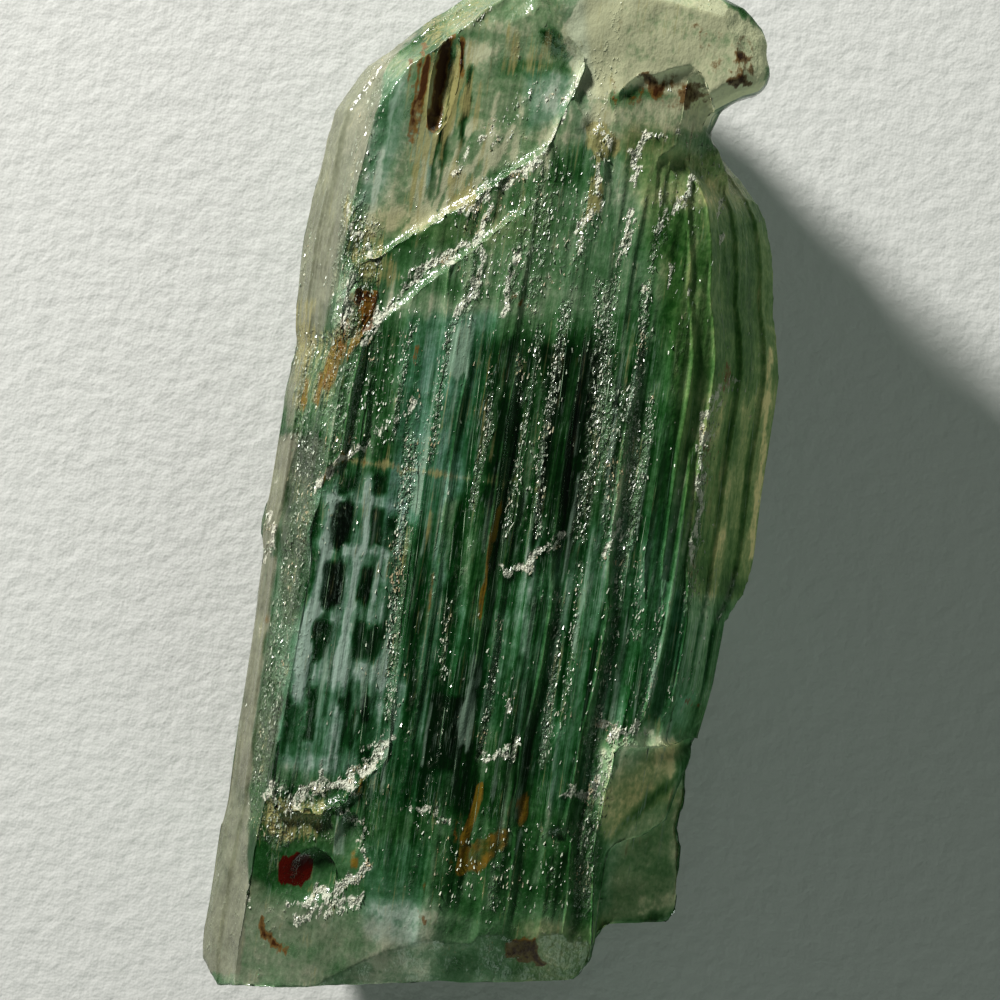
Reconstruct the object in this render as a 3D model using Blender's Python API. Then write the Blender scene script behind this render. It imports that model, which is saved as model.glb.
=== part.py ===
"""Aquamarine crystal: one loose, broken prism of green-blue beryl that lies on a prism face.

The c-axis runs along Y, so the growth lines run along Y too. The prism faces meet at 120 degrees.
Lengths below are millimetres, x across the crystal, y along it and z up from the face it rests on.
"""

import math

import bmesh
import bpy
from mathutils import Matrix, Vector
from mathutils.bvhtree import BVHTree

MM = 0.001

# Driving dimensions
SLOPE = math.tan(math.radians(60))  # the side faces lean 60 degrees from level
LEFT_EDGE_Z = 10.6  # height of the widest edge on the left
SHOULDER_DROP = 0.9  # the prism's upper edges lie this far under the middle of the top face

# How far out the widest edges lie, as (y, x)
LEFT_EDGE = [
    (28.8, -4.0), (27.8, -4.9), (26.7, -6.3), (25.7, -7.2), (24.7, -8.4), (23.7, -9.4), (22.6, -10.4), (21.6, -11.5),
    (20.6, -12.0), (19.6, -12.5), (18.8, -12.9), (17.6, -13.05), (16.0, -13.15), (11.8, -13.4),
    (8.2, -13.3), (6.9, -13.15), (6.3, -12.93), (3.4, -13.2), (-2.2, -13.2), (-3.5, -13.4),
    (-5.4, -13.0), (-10.1, -12.95), (-18.6, -12.9), (-20.7, -13.1), (-25.5, -13.1), (-31.0, -12.6),
]
RIGHT_EDGE = [
    (28.8, 4.4), (27.6, 5.2), (25.7, 6.0), (23.7, 6.5), (21.6, 7.0), (20.9, 7.25), (20.15, 8.0),
    (18.8, 9.57), (17.6, 10.7), (16.5, 11.4), (15.1, 11.86), (13.5, 12.22), (11.3, 12.5), (10.4, 12.88),
    (8.9, 13.2), (7.8, 13.35), (3.5, 13.3), (-1.3, 13.45), (-2.7, 13.4), (-3.5, 13.14), (-5.2, 12.2),
    (-8.6, 12.1), (-11.7, 11.7), (-12.5, 11.4), (-14.9, 11.6), (-16.3, 11.4), (-17.5, 11.9),
    (-20.2, 12.2), (-31.0, 12.4),
]
# Height of the widest edge on the right, of the top face and of the underside, as (y, z)
RIGHT_EDGE_Z = [(28.8, 8.0), (-2.7, 8.2), (-5.2, 11.2), (-31.0, 11.6)]
TOP = [
    (28.8, 12.4), (27.6, 13.4), (25.7, 14.3), (22.6, 15.0), (18.8, 15.4), (11.8, 15.8), (-2.2, 16.0),
    (-14.9, 15.9), (-20.7, 15.6), (-31.0, 15.0),
]
UNDERSIDE = [(28.8, 1.6), (25.7, 0.5), (22.6, 0.0), (-31.0, 0.0)]

# Growth steps: share of the way along a face, then how far the surface lies out from the plain face at
# the upper end, in the middle and at the lower end
STEP_STATIONS = (20.0, 2.0, -18.0)
TOP_STEPS = [
    (0.04, 0.1, 0.15, 0.1), (0.055, -0.05, -0.1, 0.0), (0.15, 0.1, 0.0, -0.1), (0.165, 0.1, 0.25, 0.15),
    (0.25, 0.3, 0.25, 0.2), (0.265, 0.4, 0.6, 0.35), (0.335, 0.5, 0.6, 0.45), (0.35, 0.55, 0.35, 0.5),
    (0.40, 0.6, 0.45, 0.6), (0.415, 0.5, 0.8, 0.75), (0.465, 0.6, 0.85, 0.7), (0.48, 0.85, 0.55, 0.6),
    (0.55, 0.9, 0.6, 0.55), (0.565, 0.7, 0.9, 0.85), (0.635, 0.75, 0.95, 0.8), (0.65, 0.9, 0.65, 0.6),
    (0.705, 0.85, 0.7, 0.55), (0.72, 0.6, 0.95, 0.8), (0.785, 0.6, 0.9, 0.75), (0.80, 0.7, 0.55, 0.45),
    (0.865, 0.6, 0.55, 0.4), (0.88, 0.45, 0.8, 0.6), (0.935, 0.3, 0.5, 0.4), (0.95, 0.15, 0.2, 0.1),
]
UPPER_RIGHT_STEPS = [
    (0.16, 0.0, 0.0, 0.0), (0.20, -0.2, -0.35, -0.1), (0.38, -0.15, -0.3, -0.1), (0.42, 0.0, 0.0, -0.2),
    (0.56, 0.05, 0.05, -0.2), (0.60, -0.2, -0.3, 0.0), (0.76, -0.15, -0.35, 0.0), (0.80, 0.0, -0.05, 0.0),
]
UPPER_LEFT_STEPS = [(0.3, 0.0, 0.0, -0.1), (0.34, -0.2, -0.1, -0.2), (0.66, -0.2, -0.1, -0.2), (0.7, 0.0, 0.0, 0.0)]
LOWER_RIGHT_STEPS = [
    (0.2, 0.0, 0.0, 0.0), (0.24, -0.35, -0.2, -0.3), (0.45, -0.3, -0.2, -0.35), (0.49, 0.0, 0.0, 0.0),
    (0.7, 0.05, 0.05, -0.1), (0.74, -0.3, -0.1, -0.2),
]
LOWER_LEFT_STEPS = [
    (0.15, 0.0, 0.0, 0.0), (0.18, -0.4, -0.2, -0.35), (0.33, -0.35, -0.2, -0.3), (0.36, 0.0, 0.0, 0.0),
    (0.52, 0.05, 0.05, 0.0), (0.55, -0.35, -0.15, -0.3), (0.72, -0.3, -0.15, -0.3), (0.75, 0.05, 0.0, 0.05),
]


def millimetres(*values):
    return Vector(value * MM for value in values)


def along(keys, y):
    """Value at y on a line through (y, value) keys that run from high y to low y."""
    y = min(y, keys[0][0])
    for (y0, v0), (y1, v1) in zip(keys, keys[1:]):
        if y >= y1:
            return v0 + (v1 - v0) * (y0 - y) / (y0 - y1)
    return keys[-1][1]


def stepped(start, end, steps, y):
    """The start of a face and its growth steps, in the section's plane. Out is left of the way it runs."""
    run = end - start
    out = Vector((-run.y, run.x)).normalized()
    points = [start]
    for share, *lifts in steps:
        points.append(start + run * share + out * along(list(zip(STEP_STATIONS, lifts)), y))
    return points


def section(y):
    """The crystal's outline across its c-axis at y, clockwise from the left edge, as (x, z)."""
    left, right = along(LEFT_EDGE, y), along(RIGHT_EDGE, y)
    top, low = along(TOP, y), along(UNDERSIDE, y)
    shoulder = top - SHOULDER_DROP
    left_z = min(LEFT_EDGE_Z, (top + low) / 2 + 1.5)
    right_z = along(RIGHT_EDGE_Z, y)
    corners = [
        Vector((left, left_z)),
        Vector((left + (shoulder - left_z) / SLOPE, shoulder)),
        Vector((right - (shoulder - right_z) / SLOPE, shoulder)),
        Vector((right, right_z)),
        Vector((right - (right_z - low) / SLOPE, low)),
        Vector((left + (left_z - low) / SLOPE, low)),
    ]
    faces = [UPPER_LEFT_STEPS, TOP_STEPS, UPPER_RIGHT_STEPS, LOWER_RIGHT_STEPS, [], LOWER_LEFT_STEPS]
    outline = []
    for start, end, steps in zip(corners, corners[1:] + corners[:1], faces):
        outline += stepped(start, end, steps, y)
    return outline


def new_object(name, bm, collection):
    bmesh.ops.recalc_face_normals(bm, faces=bm.faces)
    mesh = bpy.data.meshes.new(name)
    bm.to_mesh(mesh)
    bm.free()
    obj = bpy.data.objects.new(name, mesh)
    collection.objects.link(obj)
    return obj


def prism(name, collection):
    """The whole prism, as sections bridged one to the next and closed at both ends."""
    stations = sorted({y for keys in (LEFT_EDGE, RIGHT_EDGE, TOP) for y, _ in keys}, reverse=True)
    kept = [stations[0]]
    for y in stations[1:]:
        if kept[-1] - y > 0.6 or y == stations[-1]:
            kept.append(y)
    bm = bmesh.new()
    loops = []
    for y in kept:
        ring = [bm.verts.new(millimetres(x, y, z)) for x, z in section(y)]
        loops.append([bm.edges.new((a, b)) for a, b in zip(ring, ring[1:] + ring[:1])])
    for loop, following in zip(loops, loops[1:]):
        bmesh.ops.bridge_loops(bm, edges=loop + following)
    for loop in (loops[0], loops[-1]):
        bmesh.ops.contextual_create(bm, geom=loop)
    return new_object(name, bm, collection)


def evaluated_mesh(obj):
    graph = bpy.context.evaluated_depsgraph_get()
    return bpy.data.meshes.new_from_object(obj.evaluated_get(graph))


def clean(obj):
    """Merges slivers and leaves triangles only, so that every face is flat."""
    bm = bmesh.new()
    bm.from_mesh(obj.data)
    bmesh.ops.remove_doubles(bm, verts=bm.verts, dist=0.004 * MM)
    bmesh.ops.dissolve_degenerate(bm, edges=bm.edges, dist=0.002 * MM)
    bmesh.ops.triangulate(bm, faces=bm.faces)
    bm.to_mesh(obj.data)
    bm.free()


def combine(target, tool, operation):
    """Joins tool to target, or cuts it away, and hides the tool."""
    clean(tool)
    modifier = target.modifiers.new(tool.name, "BOOLEAN")
    modifier.object = tool
    modifier.operation = operation
    modifier.solver = "EXACT"
    bpy.context.view_layer.update()
    old = target.data
    mesh = evaluated_mesh(target)
    target.modifiers.clear()
    target.data = mesh
    bpy.data.meshes.remove(old)
    clean(target)
    tool.hide_render = True
    tool.display_type = "WIRE"


def break_off(name, outline, base, slope_x=0.0, slope_y=0.0, collection=None):
    """A cutter over an outline. Its underside is the break: level at base, or leaning with x and y."""
    bm = bmesh.new()
    face = bm.faces.new([bm.verts.new(millimetres(x, y, 0.0)) for x, y in outline])
    centre = Vector((sum(x for x, _ in outline), sum(y for _, y in outline))) / len(outline)
    lifted = bmesh.ops.extrude_face_region(bm, geom=[face])["geom"]
    upper = [v for v in lifted if isinstance(v, bmesh.types.BMVert)]
    bmesh.ops.translate(bm, verts=upper, vec=millimetres(0, 0, 30))
    for vert in bm.verts:
        if vert not in upper:
            x, y = vert.co.x / MM - centre.x, vert.co.y / MM - centre.y
            vert.co.z = (base + slope_x * x + slope_y * y) * MM
    return new_object(name, bm, collection)


def spindle(bm, start, end, width, depth):
    """A six-sided needle between two points, with its width across and its depth upright."""
    axis = end - start
    made = bmesh.ops.create_uvsphere(bm, u_segments=6, v_segments=5, radius=1.0)
    turn = axis.to_track_quat("Z", "X").to_matrix().to_4x4()
    size = Matrix.Diagonal((depth * MM / 2, width * MM / 2, axis.length / 2, 1.0))
    place = Matrix.Translation((start + end) / 2)
    bmesh.ops.transform(bm, matrix=place @ turn @ size, verts=made["verts"])


def surface_height(tree, x, y):
    """Height of the crystal's top face at a point, in metres."""
    return tree.ray_cast(millimetres(x, y, 40.0), Vector((0, 0, -1)))[0].z


def growth_line(name, target, line, collection):
    """A needle along the top face, from (x, y of its start, y of its end, width)."""
    graph = bpy.context.evaluated_depsgraph_get()
    tree = BVHTree.FromObject(target, graph)
    x, start_y, end_y, width = line
    bm = bmesh.new()
    ends = [Vector((x * MM, y * MM, surface_height(tree, x, y) - RIDGE_SUNK * MM)) for y in (start_y, end_y)]
    spindle(bm, *ends, width, width * RIDGE_DEPTH)
    return new_object(name, bm, collection)


def pit(name, place, radii, turn, collection):
    """A rounded hollow, as of a shell-like chip."""
    bm = bmesh.new()
    bmesh.ops.create_icosphere(bm, subdivisions=2, radius=1.0)
    shape = Matrix.Translation(millimetres(*place)) @ Matrix.Rotation(math.radians(turn), 4, "Z")
    bmesh.ops.transform(bm, matrix=shape @ Matrix.Diagonal((*millimetres(*radii), 1.0)), verts=bm.verts)
    return new_object(name, bm, collection)


# Where pieces of the top have broken off: outline, height at its middle, lean across and lean along
BREAKS = {
    # the upper left, a smooth break that falls away to the corner
    "upper_left_break": (
        [(-0.1, 22.1), (-1.15, 18.1), (-3.3, 16.1), (-5.5, 14.3), (-7.2, 12.8), (-8.9, 11.4), (-10.6, 10.6),
         (-14.5, 12.0), (-15.0, 20.0), (-12.5, 27.0), (-6.0, 31.0), (0.5, 31.0), (0.9, 25.0)],
        13.9, 0.07, -0.03,
    ),
    # a narrow terrace along its foot
    "upper_left_terrace": (
        [(-6.5, 15.6), (-3.9, 17.5), (-2.2, 17.2), (-1.6, 14.9), (-2.9, 13.7), (-6.2, 10.2), (-8.8, 7.35),
         (-10.4, 6.0), (-15.0, 6.2), (-15.0, 12.6), (-10.9, 12.4), (-8.0, 14.0)],
        14.7, 0.04, 0.0,
    ),
    # the clear window on the left
    "left_window": (
        [(-5.9, 4.0), (-7.6, 2.6), (-9.1, 0.5), (-10.9, -1.7), (-15.0, -1.8), (-15.0, -17.2), (-10.9, -16.6),
         (-9.5, -18.2), (-7.6, -17.9), (-6.4, -16.9), (-4.6, -14.5), (-5.0, -8.0), (-5.2, 0.0)],
        14.5, 0.035, 0.06,
    ),
    # the lower left, falling to the broken end
    "lower_left_break": (
        [(-4.4, -15.6), (-6.3, -17.3), (-7.5, -18.4), (-9.6, -18.7), (-11.0, -17.1), (-15.0, -17.8),
         (-15.0, -31.0), (-2.6, -31.0), (-2.4, -24.0), (-3.4, -20.5)],
        13.9, 0.29, 0.1,
    ),
    # a shell-like facet at the lower right, and the ledge under it
    "lower_right_facet": (
        [(7.3, -12.4), (12.5, -11.4), (15.0, -11.4), (15.0, -24.5), (8.0, -24.5), (7.1, -17.6)],
        11.2, -0.85, 0.03,
    ),
    "lower_right_ledge": (
        [(11.4, -11.6), (10.3, -12.8), (9.9, -14.2), (9.7, -15.9), (8.9, -17.0), (7.8, -17.8), (7.8, -19.8),
         (7.9, -22.5), (7.6, -25.0), (16.0, -25.0), (16.0, -11.6)],
        9.6, -0.14, 0.02,
    ),
    # the shoulder slopes away under the overhanging lump
    "upper_right_shoulder": (
        [(1.2, 19.9), (4.0, 19.3), (7.0, 18.2), (12.5, 16.4), (14.0, 24.0), (8.0, 30.0), (0.6, 30.0), (0.2, 22.2)],
        15.2, -0.05, -0.03,
    ),
}

# Rounded masses that are joined on. Each has its outline, its levels as (z, scale about its middle), and
# its flat breaks, each a point and an outward normal
MASSES = {
    # the neck under the lump, where the right side draws in
    "neck": (
        [(7.0, 20.7), (6.7, 21.8), (6.2, 23.0), (5.0, 24.6), (2.0, 25.4), (0.2, 23.6), (0.6, 21.0), (1.6, 19.0),
         (3.4, 17.6), (5.6, 17.0), (7.6, 17.2), (8.9, 17.9), (8.0, 19.6)],
        [(6.6, 0.7), (8.4, 0.9), (10.4, 0.98), (12.0, 0.99), (13.4, 0.95), (14.5, 0.87), (15.1, 0.74)],
        [
            ((6.9, 19.4, 13.9), (0.72, 0.0, 0.7)),
            ((7.2, 18.2, 13.2), (0.5, -0.55, 0.67)),
        ],
    ),
    # the pale lump that overhangs the notch at the upper right
    "lump": (
        [(7.25, 20.95), (8.0, 21.55), (8.75, 22.15), (9.6, 22.6), (9.95, 23.2), (10.05, 23.8), (9.72, 24.6),
         (9.64, 25.4), (9.24, 26.2), (8.1, 27.1), (6.2, 27.75), (4.0, 28.4), (1.4, 28.7), (-2.0, 28.3),
         (-3.2, 26.0), (-1.4, 23.6), (0.5, 21.6), (1.2, 20.3), (2.5, 21.75), (3.6, 21.9), (5.0, 22.6),
         (5.95, 22.95), (6.6, 22.2)],
        [(4.6, 0.62), (7.2, 0.84), (10.0, 0.96), (12.8, 1.0), (14.2, 0.98), (14.9, 0.9), (15.4, 0.7)],
        [
            ((8.6, 24.4, 8.0), (0.62, -0.1, -0.78)),
            ((6.6, 21.9, 7.6), (0.25, -0.72, -0.65)),
            ((4.0, 27.9, 9.4), (0.2, 0.78, -0.6)),
            ((8.9, 25.6, 14.3), (0.55, 0.3, 0.78)),
            ((3.4, 27.2, 15.0), (0.05, 0.5, 0.86)),
        ],
    ),
}

# Growth lines that stand proud of the top face, as (x, y of the upper end, y of the lower end, width)
RIDGES = [
    (-4.15, 9.4, -7.5, 0.6), (-2.3, 11.6, -3.5, 0.65), (0.15, 6.2, -12.0, 0.7), (2.75, 15.2, -1.2, 0.65),
    (5.2, 2.8, -17.0, 0.7), (6.6, 14.4, -3.0, 0.7), (8.7, 4.6, -8.4, 0.75), (-8.3, 5.2, 0.2, 0.6),
]
RIDGE_DEPTH = 0.7  # of a ridge's width
RIDGE_SUNK = 0.04  # how far a ridge's ends lie under the face

PITS = {  # middle, radii and turn about Z
    "red_pit": ((-7.7, -21.5, 14.05), (1.7, 1.4, 0.6), 28),
    "tooth_pit": ((-5.95, -19.2, 14.8), (0.75, 1.45, 0.6), -6),
    "stained_hollow": ((-6.95, 20.7, 14.1), (0.6, 2.9, 0.95), -2),
    "brown_cleft": ((-9.6, 8.3, 14.85), (0.7, 1.9, 0.95), -18),
    "lower_scar": ((4.7, -17.5, 16.4), (1.8, 0.7, 1.2), 22),
    "end_chip": ((-2.9, -28.2, 8.0), (2.4, 1.5, 3.5), 8),
    "underside_chip": ((10.9, 10.2, 1.4), (2.8, 4.4, 2.2), 12),
    "back_chip": ((-11.4, -13.0, 2.6), (3.2, 5.0, 2.4), -8),
}


def cut_flat(obj, point, normal):
    """Cuts the crystal off along a plane and closes the cut."""
    bm = bmesh.new()
    bm.from_mesh(obj.data)
    geom = bm.verts[:] + bm.edges[:] + bm.faces[:]
    cut = bmesh.ops.bisect_plane(
        bm, geom=geom, dist=1e-7, plane_co=millimetres(*point), plane_no=Vector(normal).normalized(),
        clear_outer=True,
    )
    edges = [item for item in cut["geom_cut"] if isinstance(item, bmesh.types.BMEdge)]
    bmesh.ops.contextual_create(bm, geom=edges)
    bmesh.ops.recalc_face_normals(bm, faces=bm.faces)
    bm.to_mesh(obj.data)
    bm.free()


def mass(name, outline, levels, breaks, collection):
    """One outline drawn up through its levels, then broken flat where it needs to be."""
    centre = Vector((sum(x for x, _ in outline), sum(y for _, y in outline))) / len(outline)
    bm = bmesh.new()
    loops = []
    for z, scale in levels:
        points = [centre + (Vector(point) - centre) * scale for point in outline]
        ring = [bm.verts.new(millimetres(x, y, z)) for x, y in points]
        loops.append([bm.edges.new((a, b)) for a, b in zip(ring, ring[1:] + ring[:1])])
    for loop, following in zip(loops, loops[1:]):
        bmesh.ops.bridge_loops(bm, edges=loop + following)
    for loop in (loops[0], loops[-1]):
        bmesh.ops.contextual_create(bm, geom=loop)
    obj = new_object(name, bm, collection)
    for point, normal in breaks:
        cut_flat(obj, point, normal)
    return obj


# The broken ends: flat breaks, each a point on it and its outward normal
END_BREAKS = [
    ((0.0, 28.1, 8.0), (-0.16, 1.0, 0.12)),
    ((0.0, 27.4, 3.0), (-0.1, 0.8, -0.6)),
    ((-7.4, 26.2, 5.0), (-0.6, 0.5, -0.62)),
    ((-2.0, -26.9, 8.0), (0.18, -1.0, 0.06)),
    ((-2.0, -26.9, 13.3), (0.1, -0.545, 0.84)),
    ((-2.0, -27.0, 6.5), (0.15, -1.0, -0.62)),
    ((-12.7, -27.5, 8.0), (-0.75, -0.66, 0.05)),
    ((7.6, -25.0, 8.0), (0.75, -0.7, 0.1)),
]


def corner_break(collection):
    """The corner that is missing between the ledge at the lower right and the lower end."""
    outline = [(8.5, -22.55), (11.3, -21.7), (15.0, -20.9), (15.0, -31.0), (6.0, -31.0), (7.0, -25.4), (8.1, -23.2)]
    bm = bmesh.new()
    face = bm.faces.new([bm.verts.new(millimetres(x, y, -5.0)) for x, y in outline])
    raised = bmesh.ops.extrude_face_region(bm, geom=[face])["geom"]
    upper = [item for item in raised if isinstance(item, bmesh.types.BMVert)]
    bmesh.ops.translate(bm, verts=upper, vec=millimetres(0, 0.6, 30))
    return new_object("corner_break", bm, collection)


def beryl():
    material = bpy.data.materials.new("beryl")
    material.use_nodes = True
    shader = material.node_tree.nodes["Principled BSDF"]
    shader.inputs["Base Color"].default_value = (0.16, 0.36, 0.27, 1.0)
    shader.inputs["Roughness"].default_value = 0.2
    shader.inputs["Metallic"].default_value = 0.0
    shader.inputs["IOR"].default_value = 1.58
    shader.inputs["Transmission Weight"].default_value = 0.6
    return material


def seat(obj):
    """Moves the mesh so that its box stands centred on the origin."""
    corners = [Vector(corner) for corner in obj.bound_box]
    low = Vector(map(min, zip(*corners)))
    high = Vector(map(max, zip(*corners)))
    obj.data.transform(Matrix.Translation(-Vector(((low.x + high.x) / 2, (low.y + high.y) / 2, low.z))))


def main():
    for obj in list(bpy.data.objects):
        bpy.data.objects.remove(obj)
    scene = bpy.context.scene.collection
    parts = bpy.data.collections.new("aquamarine_crystal")
    tools = bpy.data.collections.new("cutters")
    scene.children.link(parts)
    scene.children.link(tools)

    crystal = prism("crystal", parts)
    for point, normal in END_BREAKS:
        cut_flat(crystal, point, normal)
    clean(crystal)
    for name, (outline, base, slope_x, slope_y) in BREAKS.items():
        combine(crystal, break_off(name, outline, base, slope_x, slope_y, tools), "DIFFERENCE")
    combine(crystal, corner_break(tools), "DIFFERENCE")
    for name, (outline, levels, breaks) in MASSES.items():
        combine(crystal, mass(name, outline, levels, breaks, tools), "UNION")
    for number, line in enumerate(RIDGES):
        ridge = growth_line(f"ridge_{number:02d}", crystal, line, tools)
        combine(crystal, ridge, "UNION")
    for name, (place, radii, turn) in PITS.items():
        combine(crystal, pit(name, place, radii, turn, tools), "DIFFERENCE")
    crystal.data.shade_flat()
    seat(crystal)
    crystal.data.materials.clear()
    crystal.data.materials.append(beryl())


main()
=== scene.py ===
import math

import bmesh
import bpy
import numpy as np
from mathutils import Matrix, Vector
from mathutils.bvhtree import BVHTree


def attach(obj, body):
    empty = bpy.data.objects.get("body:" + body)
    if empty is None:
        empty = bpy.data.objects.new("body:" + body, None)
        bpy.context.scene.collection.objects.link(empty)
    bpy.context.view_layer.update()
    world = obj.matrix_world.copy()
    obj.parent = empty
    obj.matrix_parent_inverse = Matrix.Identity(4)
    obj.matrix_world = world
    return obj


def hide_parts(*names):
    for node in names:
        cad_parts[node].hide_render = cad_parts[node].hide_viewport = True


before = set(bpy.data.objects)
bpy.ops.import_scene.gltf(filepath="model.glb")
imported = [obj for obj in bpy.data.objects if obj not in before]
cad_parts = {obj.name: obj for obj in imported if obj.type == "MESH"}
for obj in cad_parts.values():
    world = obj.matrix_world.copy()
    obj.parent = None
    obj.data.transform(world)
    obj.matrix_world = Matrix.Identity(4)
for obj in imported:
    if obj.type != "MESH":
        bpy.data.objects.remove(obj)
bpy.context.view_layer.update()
mm = 0.001
collection = bpy.context.scene.collection

# The camera looks straight down on the striated face, turned so that the crystal leans to the right.
cameraSetup = {
    "height": 188.0, "lens": 119.9, "sensor": 36.0, "aim": (-0.7, -0.5), "lean": 8.8,
    "clip": (0.005, 10.0),
}
frameSize = 1000.0  # the frame's width and height in its own units, with v down
floorSetup = {
    "size": 900.0, "color": (0.72, 0.72, 0.70), "roughness": 0.9,
    "grain": {"Scale": 900.0, "Detail": 3.0, "Roughness": 0.6},
    "tooth": {"Distance": 0.0004, "Strength": 0.28},
}
lampSetup = {
    "from": (-0.551, 0.744, 0.375), "distance": 420.0, "size": 70.0, "watts": 3.42, "color": (1.0, 0.99, 0.95),
}
# light thrown back by the room, low and from before and behind, where few faces mirror it to the camera
bounceSetups = {
    "bounceFront": {"from": (0.30, -0.90, 0.34), "watts": 0.20},
    "bounceBack": {"from": (0.34, 0.88, 0.34), "watts": 0.13},
}
bounceShape = {"distance": 300.0, "size": 160.0, "color": (0.84, 1.0, 0.88)}
skySetup = {"color": (0.86, 1.0, 0.92), "strength": 0.035}


def linkedObject(name, data):
    obj = bpy.data.objects.new(name, data)
    collection.objects.link(obj)
    return obj


def lampDirection(setup=lampSetup):
    # where a lamp stands, seen from the crystal: its setup is in the camera's axes
    turn = Matrix.Rotation(math.radians(cameraSetup["lean"]), 3, "Z")
    return turn @ Vector(setup["from"]).normalized()


def smooth(low, high, value):
    t = np.clip((value - low) / (high - low), 0.0, 1.0)
    return t * t * (3.0 - 2.0 * t)


def latticeValue(ix, iy, iz, seed):
    # stirs a cell's place and a seed into a number from 0 to 1
    h = (ix * 374761393 + iy * 668265263 + iz * 2147483647 + seed * 974634777).astype(np.int64) & 0xFFFFFFFF
    h = ((h ^ (h >> 13)) * 1274126177) & 0xFFFFFFFF
    h = ((h ^ (h >> 16)) * 2246822519) & 0xFFFFFFFF
    return ((h ^ (h >> 15)) & 0xFFFFFF) / float(0xFFFFFF)


def noise(points, scale, seed):
    # value noise from 0 to 1 over an array of points, each axis stretched by its own scale
    p = points / np.asarray(scale)
    cell = np.floor(p).astype(np.int64)
    f = p - cell
    f = f * f * (3.0 - 2.0 * f)
    total = np.zeros(len(points))
    for corner in np.ndindex(2, 2, 2):
        weight = np.ones(len(points))
        for axis, far in enumerate(corner):
            weight = weight * (f[:, axis] if far else 1 - f[:, axis])
        total += weight * latticeValue(*(cell + corner).T, seed)
    return total


def layered(points, scale, octaves, seed):
    # noise from 0 to 1 with finer and weaker layers added
    total, weight, size = np.zeros(len(points)), 1.0, np.array(scale, float)
    for octave in range(octaves):
        total += weight * noise(points, size, seed + octave)
        weight *= 0.5
        size *= 0.5
    return total / (2.0 - 2.0 * weight)


def perMm(z):
    # units of the frame for each mm at height z
    return frameSize * cameraSetup["lens"] / cameraSetup["sensor"] / (cameraSetup["height"] - z)


def toFrame(points):
    # where points, in mm, fall in the camera's frame
    a = math.radians(cameraSetup["lean"])
    right = np.array((math.cos(a), math.sin(a)))
    up = np.array((-math.sin(a), math.cos(a)))
    flat = points[:, :2] - np.array(cameraSetup["aim"])
    scale, middle = perMm(points[:, 2]), frameSize / 2
    return np.stack((middle + flat @ right * scale, middle - flat @ up * scale), axis=1)


def fromFrame(u, v, z):
    # the place at height z, in mm, that falls at (u, v) in the camera's frame
    a = math.radians(cameraSetup["lean"])
    across, upward = (u - frameSize / 2) / perMm(z), (frameSize / 2 - v) / perMm(z)
    x = cameraSetup["aim"][0] + across * math.cos(a) - upward * math.sin(a)
    y = cameraSetup["aim"][1] + across * math.sin(a) + upward * math.cos(a)
    return x, y


def makeCamera():
    data = bpy.data.cameras.new("camera")
    data.lens, data.sensor_width = cameraSetup["lens"], cameraSetup["sensor"]
    data.clip_start, data.clip_end = cameraSetup["clip"]
    camera = linkedObject("camera", data)
    camera.location = Vector((*cameraSetup["aim"], cameraSetup["height"])) * mm
    camera.rotation_euler = (0.0, 0.0, math.radians(cameraSetup["lean"]))
    bpy.context.scene.camera = camera
    bpy.context.scene.view_settings.view_transform = "Standard"


class Wire:
    # a socket that can be used in sums: each operation adds the node that works it out
    def __init__(self, tree, socket=None):
        self.tree, self.socket = tree, socket

    def node(self, kind, settings=None, output=0, **inputs):
        # _2=value sets input number 2, and Base_Color=value the one called Base Color
        made = self.tree.nodes.new(kind)
        for name, value in (settings or {}).items():
            if name == "stops":
                ramp = made.color_ramp
                while len(ramp.elements) < len(value):
                    ramp.elements.new(0.5)
                for element, (position, color) in zip(ramp.elements, value):
                    element.position = position
                    element.color = (*color, 1.0)
            else:
                setattr(made, name, value)
        for name, value in inputs.items():
            key = int(name[1:]) if name[0] == "_" else name.replace("_", " ")
            if isinstance(value, Wire):
                self.tree.links.new(value.socket, made.inputs[key])
            else:
                made.inputs[key].default_value = value
        return Wire(self.tree, made.outputs[output])

    def math(self, operation, *others):
        values = {f"_{i + 1}": other for i, other in enumerate(others)}
        return self.node("ShaderNodeMath", {"operation": operation}, _0=self, **values)

    def __add__(self, other):
        return self.math("ADD", other)

    __radd__ = __add__

    def __mul__(self, other):
        return self.math("MULTIPLY", other)

    __rmul__ = __mul__

    def __sub__(self, other):
        return self.math("SUBTRACT", other)

    def __rsub__(self, other):
        return (self * -1.0) + other

    def ramp(self, low, high):
        settings = {"interpolation_type": "SMOOTHSTEP"}
        return self.node("ShaderNodeMapRange", settings, Value=self, From_Min=low, From_Max=high)

    def most(self, *others):
        found = self
        for other in others:
            found = found.math("MAXIMUM", other)
        return found

    def over(self, below, mask):
        # this colour laid over another one
        return self.node("ShaderNodeMix", {"data_type": "RGBA"}, 2, _0=mask, _6=below, _7=self)

    def scaled(self, factor):
        # this colour, lighter or darker
        return self.node("ShaderNodeVectorMath", {"operation": "SCALE"}, Vector=self, Scale=factor)

    def finish(self, **sockets):
        # plugs this shader into the material's output, with any others that it has
        output = self.tree.nodes.new("ShaderNodeOutputMaterial")
        for name, wire in {"Surface": self, **sockets}.items():
            self.tree.links.new(wire.socket, output.inputs[name])


def newMaterial(name):
    material = bpy.data.materials.new(name)
    material.use_nodes = True
    tree = material.node_tree
    tree.nodes.clear()
    return material, Wire(tree)


def colorOf(start, rgb):
    made = start.node("ShaderNodeRGB")
    made.socket.default_value = (*rgb, 1.0)
    return made


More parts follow.
